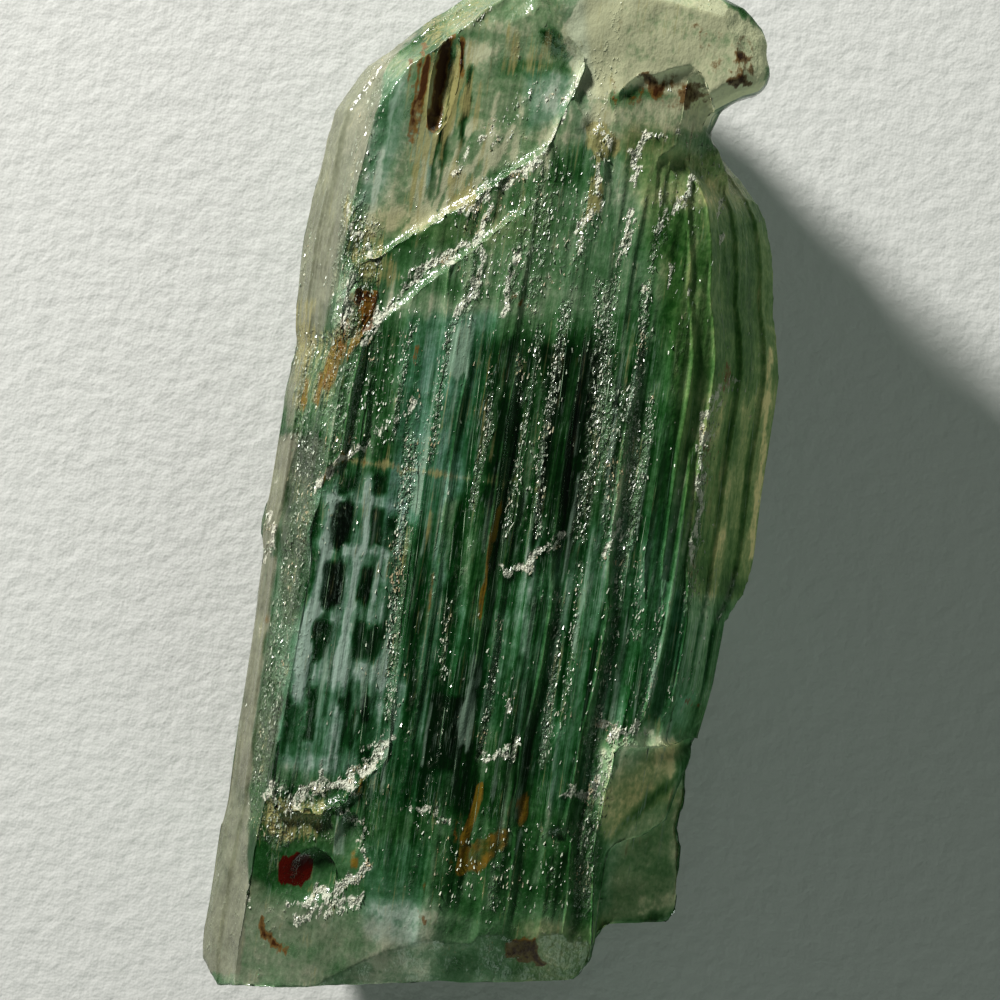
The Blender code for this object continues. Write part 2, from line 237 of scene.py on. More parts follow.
def makeFloor():
    bm = bmesh.new()
    bmesh.ops.create_grid(bm, x_segments=1, y_segments=1, size=floorSetup["size"] * mm / 2)
    mesh = bpy.data.meshes.new("floor")
    bm.to_mesh(mesh)
    bm.free()
    floor = linkedObject("floor", mesh)
    material, start = newMaterial("paper")
    place = start.node("ShaderNodeTexCoord", output=3)
    grain = start.node("ShaderNodeTexNoise", Vector=place, **floorSetup["grain"])
    bump = start.node("ShaderNodeBump", Height=grain, **floorSetup["tooth"])
    color, roughness = (*floorSetup["color"], 1.0), floorSetup["roughness"]
    start.node("ShaderNodeBsdfPrincipled", Base_Color=color, Roughness=roughness, Normal=bump).finish()
    mesh.materials.append(material)


def makeLamp(name, setup):
    direction = lampDirection(setup)
    data = bpy.data.lights.new(name, "AREA")
    data.shape = "DISK"
    data.size = setup["size"] * mm
    data.energy = setup["watts"]
    data.color = setup["color"]
    lamp = linkedObject(name, data)
    lamp.location = direction * setup["distance"] * mm
    lamp.rotation_euler = direction.to_track_quat("Z", "Y").to_euler()


def makeLight():
    makeLamp("softbox", lampSetup)
    for name, setup in bounceSetups.items():
        makeLamp(name, {**bounceShape, **setup})
    world = bpy.data.worlds.new("sky")
    bpy.context.scene.world = world
    world.use_nodes = True
    background = world.node_tree.nodes["Background"]
    background.inputs["Color"].default_value = (*skySetup["color"], 1.0)
    background.inputs["Strength"].default_value = skySetup["strength"]


crystalSetup = {
    "voxel": 0.232,  # mm across the crystal
    "stretch": 3.0,  # cells are this much longer along it
    "merge": 0.002,  # mm, nearer points of the solid become one
    "finer": 0.15,  # a face that looks up more than this gets finer cells
    "snap": 0.85,  # share of the way that points go back onto the solid
    "top": 15.0,  # mm, about the height of the face that is seen
    "above": 40.0,  # mm, well over the crystal
    # depths in mm: the broad growth terraces, the narrow lines on them, the broken faces
    "terrace": 0.26,
    "ridge": 0.12,
    "thread": 0.06,
    "break": 0.45,
    "steps": 8.0,  # terraces from the lowest to the highest
    "grit": {"rough": 0.12, "scar": 0.10},
    "scarFacets": (0.34, 0.15),  # how high scars stand, and how deep they start
    "fill": (12.5, 0.3),  # splinters fill only skin above this height, and vary by this much
    "ledge": (1.15, (606.0, 662.0), (736.0, 764.0)),  # mm that it reaches out further, across and down the frame
    # where the surface turns: towards the camera, to the broken ends, off the table, from the lamp, to the right
    "seen": (-0.05, 0.25),
    "ends": (0.5, 0.85),
    "footing": (0.02, 0.35),
    "shade": (-0.15, 0.40),
    "right": (0.3, 0.75),
    "farRight": (0.2, 0.6),
    # how far the marks' edges wander over the frame, and the cells they do it in
    "wander": ((7.0, ((0.5, 1.1, 0.5), 2, 91)), (12.0, ((0.4, 1.4, 0.4), 2, 92))),
    # cells of the relief: mm across, along and through the crystal, how many layers where it has them, and a seed
    "cells": {
        "broad": ((1.5, 19.0, 1.5), 11),
        "narrow": ((0.7, 12.0, 0.7), 12),
        "ridge": ((0.5, 9.0, 0.5), 23),
        "thread": ((0.2, 4.0, 0.2), 31),
        "shell": ((2.4, 2.8, 2.4), 4, 47),
        "splinter": ((0.25, 1.3, 0.25), 53),
        "grit": ((0.24, 0.4, 0.24), 61),
        "facet": ((0.42, 0.6, 0.42), 2, 67),
        "sparkle": ((0.7, 11.0, 0.7), 2, 83),
    },
}


def crystalCopy():
    # a finer mesh of the solid, with cells that are long along the crystal as its growth lines are
    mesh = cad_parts["crystal"].data.copy()
    bm = bmesh.new()
    bm.from_mesh(mesh)
    bmesh.ops.remove_doubles(bm, verts=bm.verts, dist=crystalSetup["merge"] * mm)
    solid = BVHTree.FromBMesh(bm)
    bmesh.ops.scale(bm, vec=(1.0, 1.0 / crystalSetup["stretch"], 1.0), verts=bm.verts)
    bm.to_mesh(mesh)
    bm.free()
    obj = linkedObject("crystalBody", mesh)
    remesh = obj.modifiers.new("remesh", "REMESH")
    remesh.mode = "VOXEL"
    remesh.voxel_size = crystalSetup["voxel"] * mm
    graph = bpy.context.evaluated_depsgraph_get()
    fine = bpy.data.meshes.new_from_object(obj.evaluated_get(graph))
    obj.modifiers.clear()
    obj.data = fine
    fine.materials.clear()
    bm = bmesh.new()
    bm.from_mesh(fine)
    bmesh.ops.scale(bm, vec=(1.0, crystalSetup["stretch"], 1.0), verts=bm.verts)
    bm.normal_update()
    seen = {edge for face in bm.faces if face.normal.z > crystalSetup["finer"] for edge in face.edges}
    bmesh.ops.subdivide_edges(bm, edges=list(seen), cuts=1, use_grid_fill=True)
    for vert in bm.verts:  # back onto the solid, which makes its edges crisp again
        vert.co = vert.co.lerp(solid.find_nearest(vert.co)[0], crystalSetup["snap"])
    bmesh.ops.triangulate(bm, faces=[face for face in bm.faces if len(face.verts) > 4])
    bm.to_mesh(fine)
    bm.free()
    return obj


def getPoints(mesh):
    co = np.empty(len(mesh.vertices) * 3)
    mesh.vertices.foreach_get("co", co)
    return co.reshape(-1, 3) / mm


def getNormals(mesh):
    normals = np.empty(len(mesh.vertices) * 3)
    mesh.vertex_normals.foreach_get("vector", normals)
    return normals.reshape(-1, 3)


def setPoints(mesh, points):
    mesh.vertices.foreach_set("co", (points * mm).ravel())
    mesh.update()


def setAttribute(mesh, name, values):
    layer = mesh.attributes.new(name, "FLOAT", "POINT")
    layer.data.foreach_set("value", np.clip(values, -1.0, 2.0).astype(np.float32))


def nearLine(places, line, reach):
    # which places lie in the box round a line
    return np.all((places > line.min(0) - reach) & (places < line.max(0) + reach), axis=1)


def edgeDistance(p, a, b):
    # how far each place is from the stretch between two corners
    d = b - a
    t = np.clip(((p - a) @ d) / (d @ d), 0.0, 1.0)
    return np.hypot(*(p - a - t[:, None] * d).T)


def strokeMask(places, line, width):
    # how near each place in the frame is to a broken line: 1 on it, 0 at its width and beyond
    line = np.array(line, float)
    near = nearLine(places, line, width)
    mask = np.zeros(len(places))
    p = places[near]
    best = np.full(len(p), np.inf)
    for a, b in zip(line, line[1:]):
        best = np.minimum(best, edgeDistance(p, a, b))
    mask[near] = 1.0 - smooth(width * 0.35, width, best)
    return mask


def patchMask(places, outline, soften):
    # 1 inside an outline in the frame, falling to 0 over a distance outside it
    line = np.array(outline, float)
    near = nearLine(places, line, soften)
    mask = np.zeros(len(places))
    p = places[near]
    inside = np.zeros(len(p), bool)
    edge = np.full(len(p), np.inf)
    for a, b in zip(line, np.roll(line, -1, axis=0)):
        d = b - a
        crosses = (a[1] > p[:, 1]) != (b[1] > p[:, 1])
        at = a[0] + (p[:, 1] - a[1]) / (d[1] if d[1] else 1e-9) * d[0]
        inside ^= crosses & (p[:, 0] < at)
        edge = np.minimum(edge, edgeDistance(p, a, b))
    mask[near] = np.where(inside, 1.0, 1.0 - smooth(0.0, soften, edge))
    return mask


# What is seen on the crystal, placed in the camera's frame. A patch is its strength, its soft edge and then
# the corners of its outline, u and v in turn. A line is its strength, its width and then its points.
# Strengths add up within one kind and may be negative.
lump = (592, 92, 640, 84, 690, 90, 716, 124, 765, 95, 770, 40, 700, -20, 600, -20, 560, 40)
ledge = (604, 745, 650, 725, 695, 700, 700, 930, 590, 930, 600, 840)
lowEnd = (235, 800, 330, 830, 380, 880, 430, 920, 600, 930, 600, 1000, 380, 1000, 200, 990)
rightEdge = (686, 180, 712, 186, 722, 300, 724, 430, 706, 430, 700, 300)
shoulderCrack = (596, 124, 610, 143, 598, 160, 599, 192, 588, 216, 580, 252)
patches, lines = {}, {}
# how light the crystal looks inside, from its darkest green to pale
patches["light"] = [
    (0.24, 34, 380, 235, 470, 240, 560, 200, 640, 210, 640, 280, 600, 300, 480, 316, 400, 310),
    (0.42, 24, 370, 60, 480, 62, 500, 84, 590, 84, 600, 110, 540, 160, 480, 190, 370, 230, 350, 150),
    (0.40, 20, 440, 0, 600, -10, 606, 36, 560, 52, 470, 48),
    (-0.16, 24, 490, 350, 600, 345, 620, 420, 590, 560, 500, 570, 485, 450),
    (-0.06, 40, 400, 620, 640, 600, 660, 740, 560, 800, 420, 790),
    (-0.12, 30, 430, 690, 520, 660, 540, 760, 470, 800, 420, 780),
    (0.14, 8, 760, 230, 775, 260, 778, 420, 750, 600, 738, 606, 760, 440),
    (0.03, 40, 600, 180, 740, 170, 770, 300, 740, 400, 640, 380),
    (0.10, 8, 330, 90, 440, 0, 400, 36, 380, 64, 372, 104, 354, 172, 340, 210, 306, 310, 300, 240),
    (0.30, 22, 600, 112, 700, 100, 748, 170, 740, 200, 620, 190, 596, 150),
    (0.46, 6, 336, 290, 350, 266, 358, 290, 352, 334, 334, 336),
    (-0.30, 10, 288, 440, 316, 440, 314, 600, 284, 620),
    (0.14, 12, 530, 930, 600, 930, 590, 985, 530, 985),
    (-0.16, 8, 378, 84, 394, 80, 388, 132, 366, 170, 352, 190, 368, 130),
    (0.64, 8, *lump),
    (0.24, 8, 604, 120, 640, 98, 690, 96, 706, 128, 650, 130, 612, 140),
    (0.10, 40, 690, 200, 770, 200, 770, 420, 740, 560, 700, 420),
    (0.05, 8, *rightEdge),
    (0.10, 20, 716, 420, 770, 400, 756, 570, 712, 570),
    (0.10, 26, 245, 800, 340, 830, 380, 880, 420, 920, 380, 990, 210, 985, 215, 900),
    (0.26, 24, 260, 910, 430, 912, 420, 985, 230, 985),
    (-0.16, 12, 252, 800, 290, 806, 280, 880, 246, 880),
    (0.20, 26, 380, 915, 560, 925, 600, 960, 560, 985, 380, 985),
    # painted light: the ledge and the stained face above it lie in the crystal's cast shadow, and these two patches
    # paint them lighter
    (0.26, 8, 680, 790, 690, 780, 690, 900, 605, 925, 614, 846, 648, 814),
    (0.46, 8, 604, 750, 650, 730, 680, 745, 674, 775, 640, 800, 612, 835, 600, 800),
    (0.14, 12, 662, 706, 690, 704, 688, 750, 662, 770),
    (0.10, 14, 690, 600, 735, 600, 722, 660, 706, 720, 676, 720),
    (0.16, 10, 412, 335, 475, 325, 468, 450, 452, 520, 404, 520, 400, 440),
    (-0.14, 8, 376, 222, 412, 222, 408, 262, 384, 268),
    (-0.24, 6, 470, 196, 486, 176, 510, 168, 516, 170, 496, 184, 472, 198),
    (0.22, 12, 296, 490, 400, 480, 395, 700, 370, 770, 280, 780, 276, 600),
    (0.12, 40, 520, 560, 660, 560, 640, 720, 520, 720),
    # painted light: the ledge and its rim, in the crystal's cast shadow, painted lighter still
    (0.08, 12, 610, 836, 690, 800, 690, 900, 605, 925),
    (0.16, 6, 676, 770, 692, 770, 692, 905, 640, 915, 640, 902, 676, 896),
]
# blue-green against moss green
patches["teal"] = [
    (-0.3, 24, 380, 20, 550, 0, 566, 150, 540, 220, 480, 240, 380, 230, 360, 150),
    (0.7, 14, 384, 80, 404, 78, 396, 140, 372, 200, 362, 200),
    (0.7, 10, 530, 70, 566, 76, 560, 110, 530, 124),
    (-0.2, 30, 380, 220, 560, 230, 540, 330, 400, 330),
    (0.8, 20, 410, 325, 490, 320, 470, 480, 400, 520),
    (0.6, 24, 300, 480, 420, 480, 480, 700, 420, 800, 280, 790, 270, 600),
    (0.5, 26, 520, 540, 660, 520, 680, 720, 560, 800, 480, 700),
    (0.5, 20, 370, 850, 420, 850, 410, 940, 370, 930),
    (0.5, 12, 680, 600, 735, 600, 722, 660, 706, 700, 680, 700),
    (-0.65, 34, 640, 150, 770, 180, 785, 420, 740, 590, 710, 590, 690, 420, 670, 260),
    (-0.35, 14, 590, 0, 770, 0, 770, 100, 710, 130, 600, 150),
    (-0.7, 16, 600, 740, 650, 730, 680, 750, 670, 790, 640, 800, 610, 835),
    (-0.45, 20, 640, 800, 690, 800, 690, 910, 610, 930),
    (-0.5, 20, 520, 930, 600, 930, 590, 990, 520, 990),
    (-0.4, 16, 245, 760, 330, 790, 330, 840, 245, 840),
]
# where the inside looks clouded and not striped
patches["cloudy"] = [
    (1.0, 26, 330, 90, 440, -10, 600, -20, 600, 110, 540, 150, 480, 190, 420, 220, 340, 310, 300, 300),
    (1.0, 12, 592, 96, 640, 88, 690, 94, 716, 128, 775, 95, 775, 0, 700, -30, 560, -30, 560, 40),
    (0.8, 20, 600, 100, 706, 100, 740, 170, 640, 180),
    (1.0, 20, *lowEnd),
    (1.0, 10, *ledge),
    (0.9, 24, 440, 830, 600, 830, 590, 920, 430, 920),
    (0.7, 20, 276, 430, 320, 430, 300, 600, 280, 740, 240, 760, 250, 640),
    (0.65, 30, 650, 170, 770, 170, 785, 420, 740, 600, 690, 560, 680, 400),
    (0.5, 30, 400, 200, 600, 180, 680, 200, 670, 300, 560, 310, 400, 310),
]
# painted light: the ledge, which lies in the crystal's cast shadow, is painted lighter here, standing in for light
# that comes through the crystal
patches["glow"] = [
    (0.9, 10, 604, 745, 650, 728, 692, 745, 694, 900, 605, 925, 612, 846),
]
# how much of the light is turned back by veils and frosted skin
patches["frost"] = [
    (0.2, 8, *lump),
    (0.2, 8, *rightEdge),
    (0.24, 30, 644, 160, 780, 170, 790, 420, 740, 610, 700, 740, 690, 930, 600, 930, 610, 740, 690, 560),
    (-0.30, 4, 335, 504, 351, 504, 345, 546, 331, 544),
    (-0.30, 4, 326, 563, 343, 565, 338, 602, 320, 603),
    (-0.22, 20, 490, 350, 600, 345, 620, 420, 580, 560, 500, 570),
    (-0.16, 20, 430, 690, 520, 660, 540, 760, 470, 800, 420, 780),
    (-0.2, 10, 436, 50, 460, 40, 450, 110, 430, 130),
]
# rough skin that glitters
patches["rough"] = [
    (0.8, 10, 596, 280, 616, 280, 612, 380, 598, 470, 584, 540, 574, 540, 588, 440, 594, 360),
    (0.7, 8, 612, 390, 640, 380, 640, 520, 620, 560, 602, 560, 606, 470),
    (0.8, 8, 300, 440, 318, 446, 312, 484, 303, 560, 288, 640, 278, 700, 262, 780, 252, 780, 276, 600, 292, 500),
    (0.7, 12, 344, 200, 366, 204, 380, 230, 372, 290, 352, 330, 330, 350, 336, 260),
    (0.6, 8, 296, 330, 334, 338, 318, 400, 308, 440, 290, 440),
    (0.6, 12, 255, 780, 330, 790, 330, 840, 260, 840, 245, 810),
    (0.5, 8, 690, 126, 720, 160, 756, 200, 742, 204, 706, 170, 684, 150),
    (0.6, 10, 590, 720, 640, 728, 612, 780, 596, 900, 580, 890, 586, 780),
    (0.25, 16, 440, 830, 590, 820, 590, 910, 430, 910),
    (0.4, 12, 372, 60, 396, 60, 366, 190, 340, 200),
    (0.35, 16, 470, 180, 560, 150, 600, 230, 540, 300, 450, 300),
    (0.5, 6, 420, 4, 500, -4, 480, 24, 430, 30),
    (0.35, 20, 330, 340, 410, 330, 400, 440, 320, 460),
]
# the broken skin that carries no growth lines
patches["break"] = [
    (1.0, 10, 592, 92, 640, 84, 690, 90, 716, 124, 775, 95, 775, 0, 700, -30, 560, -30, 560, 40),
    (0.7, 14, 330, 90, 440, -10, 600, -20, 590, 110, 540, 150, 480, 190, 420, 220, 340, 310),
    (0.9, 14, *lowEnd),
    (1.0, 8, *ledge),
    (0.9, 10, 604, 96, 700, 92, 724, 140, 700, 156, 640, 150, 606, 128),
]
patches["scar"] = [
    (0.5, 4, 342, 290, 350, 272, 356, 298, 350, 330, 342, 330),
]
# the height in mm that splinters fill a hollow to
patches["fill"] = [
    (14.45, 1, 344, 284, 352, 264, 374, 264, 376, 322, 358, 340, 344, 336),
]
# how far below 15 mm a thin ridge is worn down
patches["worn"] = [
    (1.1, 16, 252, 788, 280, 788, 280, 828, 252, 828),
]
# pale tan stain
patches["tan"] = [
    (0.3, 4, 412, 40, 478, 30, 470, 112, 432, 150, 424, 176, 408, 174, 406, 120),
    (1.2, 3, 590, 122, 604, 124, 616, 138, 618, 150, 606, 160, 596, 158, 590, 150),
    (0.9, 3, 591, 176, 600, 178, 598, 212, 590, 212),
    (0.6, 8, 450, 180, 470, 176, 472, 204, 456, 210),
    (0.6, 10, 420, 2, 500, -6, 478, 24, 424, 34),
    (0.5, 10, 508, 34, 556, 36, 552, 66, 512, 72),
    (0.8, 10, 344, 204, 376, 240, 398, 276, 366, 282, 346, 240),
    (0.9, 8, 268, 802, 322, 804, 320, 832, 286, 836, 264, 826),
    (0.5, 14, 300, 330, 332, 336, 320, 400, 300, 400),
    (0.5, 8, 286, 300, 310, 300, 300, 360, 288, 380),
    (0.4, 8, 598, 80, 640, 84, 634, 104, 600, 118),
    (0.4, 10, 640, 0, 700, 0, 690, 30, 640, 30),
]
# grey, frosted skin
patches["skin"] = [
    (1.0, 8, 330, 90, 440, 0, 400, 36, 380, 64, 372, 104, 354, 172, 340, 210, 306, 310, 290, 240),
    (0.7, 12, 306, 240, 340, 210, 330, 280, 312, 340, 286, 420, 284, 330),
    (0.9, 6, 262, 440, 290, 440, 276, 500, 262, 560, 266, 500),
    (0.75, 6, 246, 580, 268, 560, 258, 640, 246, 740, 244, 800, 238, 920, 236, 970, 200, 970, 200, 860),
    (0.35, 10, 290, 430, 312, 440, 296, 560, 276, 700, 262, 780, 240, 780, 262, 560),
    (0.45, 20, 240, 880, 290, 910, 400, 930, 400, 980, 220, 975, 214, 930),
]
# iron stain, ochre
patches["ochre"] = [
    (0.95, 4, 468, 850, 484, 837, 508, 832, 508, 850, 490, 858, 478, 870, 462, 874),
    (0.95, 3, 518, 804, 524, 794, 528, 800, 527, 814, 521, 828, 517, 822),
    (0.9, 5, 352, 294, 366, 292, 366, 326, 346, 352, 322, 388, 318, 372, 344, 330),
    (0.35, 8, 512, 42, 540, 40, 540, 62, 514, 68),
    (0.5, 6, 276, 808, 310, 806, 314, 828, 290, 836, 272, 826),
    (0.35, 5, 622, 10, 648, 12, 636, 24, 616, 34),
    (0.4, 5, 610, 84, 640, 78, 700, 86, 690, 104, 630, 106),
    (1.2, 3, 300, 857, 311, 858, 311, 868, 303, 874),
    (0.5, 4, 604, 82, 612, 84, 618, 94, 614, 99, 606, 92),
]
patches["red"] = [
    (1.2, 3, 279, 866, 284, 858, 304, 856, 312, 862, 306, 878, 288, 886, 279, 880),
]
patches["rust"] = [
    (0.22, 8, 604, 80, 640, 74, 700, 84, 712, 100, 690, 108, 640, 104, 606, 100),
    (0.30, 10, 700, 30, 750, 40, 752, 70, 716, 70),
    (1.1, 5, 362, 292, 373, 292, 371, 322, 362, 328),
    (0.85, 3, 506, 944, 532, 940, 536, 956, 546, 966, 528, 964, 520, 960, 506, 962),
    (0.4, 5, 718, 368, 732, 360, 734, 384, 720, 394),
    (0.3, 8, 706, 450, 722, 446, 718, 480, 704, 482),
    (0.7, 3, 643, 73, 650, 74, 660, 84, 666, 82, 662, 92, 654, 94, 650, 86),
    (0.5, 3, 630, 92, 642, 92, 641, 104, 630, 104),
    (0.6, 3, 678, 88, 696, 86, 700, 94, 694, 102, 682, 94),
    (0.5, 2, 686, 103, 694, 104, 692, 110),
    (1.0, 3, 726, 80, 742, 77, 750, 84, 738, 86),
    (0.8, 4, 738, 54, 744, 56, 746, 60, 740, 60),
    (0.4, 4, 690, 14, 698, 14, 697, 26, 691, 24),
]
patches["dark"] = [
    (1.0, 3, 341, 478, 357, 477, 354, 490, 341, 492),
    (1.2, 3, 376, 476, 389, 476, 386, 494, 374, 494),
    (1.6, 3, 335, 504, 351, 504, 349, 540, 343, 546, 331, 544),
    (1.4, 3, 373, 510, 384, 510, 380, 544, 370, 545),
    (1.1, 3, 388, 518, 395, 518, 391, 550, 385, 550),
    (1.6, 3, 326, 563, 343, 565, 338, 602, 320, 603),
    (1.4, 3, 362, 568, 373, 568, 368, 600, 357, 600),
    (1.3, 3, 317, 622, 330, 623, 325, 658, 312, 660),
    (1.3, 4, 358, 626, 378, 628, 374, 658, 352, 656),
    (1.2, 3, 337, 698, 343, 698, 341, 707, 336, 706),
    (1.3, 3, 362, 699, 368, 700, 365, 718, 360, 716),
    (1.3, 3, 309, 689, 315, 690, 312, 740, 306, 740),
    (0.9, 6, 436, 702, 459, 702, 456, 767, 432, 767),
    (1.2, 4, 541, 34, 552, 32, 572, 46, 572, 58, 552, 54),
    (0.6, 8, 545, 350, 572, 350, 564, 400, 545, 400),
    (0.4, 6, 287, 700, 300, 700, 294, 740, 282, 740),
]
patches["pale"] = [
    (0.8, 4, 456, 330, 472, 330, 468, 376, 442, 374),
    (0.6, 3, 338, 814, 346, 812, 344, 850, 334, 852),
    (0.9, 3, 341, 292, 350, 278, 355, 300, 350, 326, 342, 328),
    (0.35, 10, 690, 625, 706, 625, 700, 690, 688, 690),
    (0.9, 3, 474, 682, 475, 700, 472, 730, 466, 752, 461, 746, 458, 728, 462, 705, 468, 690),
    (0.5, 4, 474, 652, 482, 674, 478, 684, 470, 682),
]

lines["light"] = [
    (0.34, 4, 452, 118, 440, 160, 428, 204, 408, 236),
    (0.30, 4, 472, 124, 452, 164, 434, 206, 418, 232),
    (0.28, 4, 492, 130, 466, 172, 440, 210),
    (0.26, 4, 430, 128, 426, 170, 420, 208, 398, 240),
    (0.26, 4, 512, 128, 496, 156, 470, 190),
    (0.50, 9, 335, 497, 327, 538, 319, 593, 308, 626, 304, 650, 298, 700),
    (0.30, 6, 370, 477, 367, 506, 364, 547),
    (0.32, 5, 358, 562, 355, 586, 352, 608),
    (0.24, 5, 386, 512, 382, 549),
    (0.26, 5, 376, 567, 374, 597),
    (0.20, 4, 344, 575, 342, 602),
    (0.26, 6, 346, 618, 344, 640, 338, 664),
    (0.22, 9, 313, 495, 350, 499, 398, 506),
    (0.22, 9, 315, 545, 350, 549, 394, 556),
    (0.20, 12, 302, 608, 340, 611, 389, 616),
    (0.22, 24, 322, 670, 350, 668, 381, 674),
    (0.24, 9, 340, 712, 334, 750),
    (0.20, 12, 284, 762, 318, 764, 352, 764),
    (0.25, 4, 772, 350, 764, 460, 752, 560),
    (0.16, 6, 748, 408, 736, 530),
    (0.16, 7, 430, 340, 420, 440, 410, 520),
    (0.14, 8, 520, 350, 508, 440, 494, 560),
    (0.18, 6, 448, 380, 440, 470),
    (0.12, 10, 440, 530, 428, 640, 420, 740),
    (0.14, 16, 400, 300, 470, 310, 560, 300, 640, 306),
    (0.10, 10, 480, 384, 560, 392, 640, 396),
    (0.16, 5, 345, 459, 372, 463, 400, 469, 470, 475, 540, 487),
]
lines["thread"] = [
    (0.9, 2.6, 484, 346, 476, 410, 468, 480, 464, 530),
    (0.9, 2.6, 588, 314, 574, 410, 568, 470),
    (0.8, 2.4, 696, 428, 684, 520),
    (0.7, 2.4, 676, 428, 662, 538),
    (0.8, 2.6, 475, 440, 466, 500, 458, 600),
    (0.7, 2.4, 572, 280, 566, 350, 556, 430),
    (0.7, 2.2, 540, 330, 528, 408, 516, 480, 500, 560),
    (0.6, 2.4, 627, 280, 622, 340),
    (0.7, 2.4, 608, 310, 650, 309),
    (0.7, 2.4, 733, 400, 722, 480, 712, 560),
    (0.7, 2.4, 760, 350, 752, 440, 742, 540),
    (0.7, 2.4, 424, 500, 412, 590, 404, 650),
    (0.7, 2.4, 446, 560, 436, 650, 430, 700),
]
lines["rough"] = [
    (0.9, 7, 566, 306, 556, 370, 548, 420, 540, 460, 538, 540),
    (0.9, 6, 648, 286, 640, 370, 634, 400, 632, 470, 628, 500),
    (0.8, 5, 490, 366, 490, 416, 480, 460, 472, 506),
    (0.8, 5, 520, 356, 520, 404),
    (0.7, 7, 540, 330, 528, 408, 516, 480, 504, 540),
    (0.7, 6, 478, 280, 450, 332, 438, 392, 432, 460),
    (0.7, 6, 652, 394, 648, 450, 642, 480),
    (0.9, 8, 412, 440, 405, 500, 399, 541, 395, 592, 392, 652, 388, 720),
    (0.6, 8, 560, 590, 550, 700, 545, 760),
    (0.6, 8, 620, 560, 610, 640, 600, 720),
    (0.6, 6, 640, 560, 636, 640),
    (0.7, 8, 716, 400, 704, 470, 693, 559, 690, 610),
    (0.6, 5, 610, 300, 604, 360, 596, 420),
    (0.6, 5, 582, 560, 570, 660, 560, 740),
    (0.6, 6, 500, 620, 490, 700, 480, 760),
    (0.5, 5, 448, 600, 440, 680),
    (0.5, 5, 420, 300, 400, 380, 392, 440),
    (0.6, 5, 660, 220, 652, 270),
    (0.6, 5, 626, 230, 616, 280),
    (0.5, 6, 664, 600, 652, 680, 640, 730),
]
lines["scar"] = [
    (0.5, 3, 580, 74, 566, 100, 560, 124, 545, 148, 530, 166),
    (1.0, 6, 538, 158, 522, 173, 508, 180, 494, 188, 472, 205, 452, 214, 428, 224),
    (0.4, 5, 540, 80, 508, 110, 480, 136, 452, 177),
    (0.4, 4, 560, 90, 520, 122, 490, 148),
    (0.7, 6, *shoulderCrack),
    (0.6, 4, 498, 200, 470, 240, 440, 262, 402, 290, 361, 332),
    (0.6, 6, 450, 250, 430, 266, 400, 282),
    (0.8, 4, 519, 250, 508, 280, 505, 300, 500, 318),
    (0.7, 4, 480, 240, 482, 264, 474, 292, 456, 314),
    (0.6, 4, 417, 400, 380, 430, 345, 456, 309, 490),
    (1.1, 10, 392, 738, 380, 752, 366, 766, 346, 778, 328, 786),
    (0.9, 11, 328, 786, 311, 794, 286, 797, 262, 798),
    (1.3, 7, 372, 862, 362, 874, 346, 880, 330, 892, 318, 900, 312, 912, 294, 924),
    (1.2, 6, 362, 896, 344, 904, 324, 917),
    (0.6, 4, 306, 904, 296, 906, 286, 905),
    (0.5, 8, 400, 806, 424, 808, 448, 822),
    (1.0, 6, 500, 566, 525, 568, 545, 550, 565, 533),
    (0.9, 6, 600, 560, 612, 545, 622, 519),
    (1.0, 5, 483, 760, 500, 754, 512, 746, 520, 740),
    (1.0, 6, 568, 788, 582, 798, 597, 800, 599, 775),
    (0.8, 6, 608, 736, 622, 734, 634, 730, 648, 736),
    (0.6, 4, 510, 696, 510, 712),
    (0.9, 6, 732, 374, 716, 400, 706, 440),
    (0.7, 5, 704, 440, 700, 500, 693, 559),
    (1.0, 6, 633, 148, 634, 164, 637, 184),
    (0.7, 5, 650, 130, 646, 142, 636, 148),
    (0.6, 4, 658, 132, 668, 138),
    (0.5, 4, 676, 130, 682, 132),
    (0.9, 6, 694, 174, 688, 194, 676, 208),
    (0.7, 5, 670, 212, 662, 224, 652, 232),
    (0.8, 5, 632, 212, 628, 230, 622, 250, 617, 262),
    (0.6, 3, 724, 196, 720, 214),
    (0.7, 3, 724, 234, 722, 242),
    (0.6, 3, 672, 262, 669, 286),
    (0.7, 3, 688, 286, 690, 294),
    (0.7, 4, 643, 288, 648, 294),
    (0.6, 5, 340, 812, 352, 811, 362, 824, 362, 850),
    (0.5, 6, 240, 890, 250, 905),
    (0.6, 5, 344, 206, 352, 228, 376, 262),
    (0.5, 4, 640, 728, 620, 730, 600, 720),
    (0.8, 5, 352, 276, 347, 300, 343, 326),
    (1.0, 5, 382, 310, 374, 330, 364, 340),
    (0.5, 3, 664, 194, 662, 206),
    (0.6, 4, 264, 510, 268, 540, 262, 560),
]
lines["tan"] = [
    (0.9, 5, 345, 460, 372, 463, 400, 469, 440, 474),
    (0.6, 5, 440, 474, 490, 478, 540, 488),
    (0.7, 5, *shoulderCrack),
    (0.7, 5, 455, 76, 450, 100, 444, 122),
    (0.5, 6, 512, 12, 508, 60, 506, 72),
    (0.6, 6, 470, 190, 452, 206, 436, 218),
    (0.5, 5, 718, 476, 706, 530, 699, 564),
]
lines["ochre"] = [
    (1.2, 4, 499, 508, 489, 559, 481, 615),
    (1.1, 6, 480, 790, 476, 806, 466, 836, 460, 872),
    (0.8, 5, 345, 455, 328, 470, 318, 482),
    (0.8, 4, 342, 320, 330, 346, 322, 372),
    (0.7, 4, 330, 356, 316, 384, 312, 402),
    (0.7, 4, 304, 374, 302, 404),
    (0.6, 4, 346, 457, 378, 462),
    (0.6, 3, 434, 575, 429, 609),
    (0.8, 5, 353, 856, 354, 866),
    (0.7, 4, 422, 886, 424, 892),
    (0.6, 4, 360, 776, 357, 796),
    (0.4, 8, 416, 124, 412, 158),
    (0.4, 8, 456, 190, 448, 204),
    (0.5, 4, 340, 896, 326, 916),
    (0.5, 5, 505, 560, 524, 572),
    (0.5, 5, 268, 604, 264, 622),
]
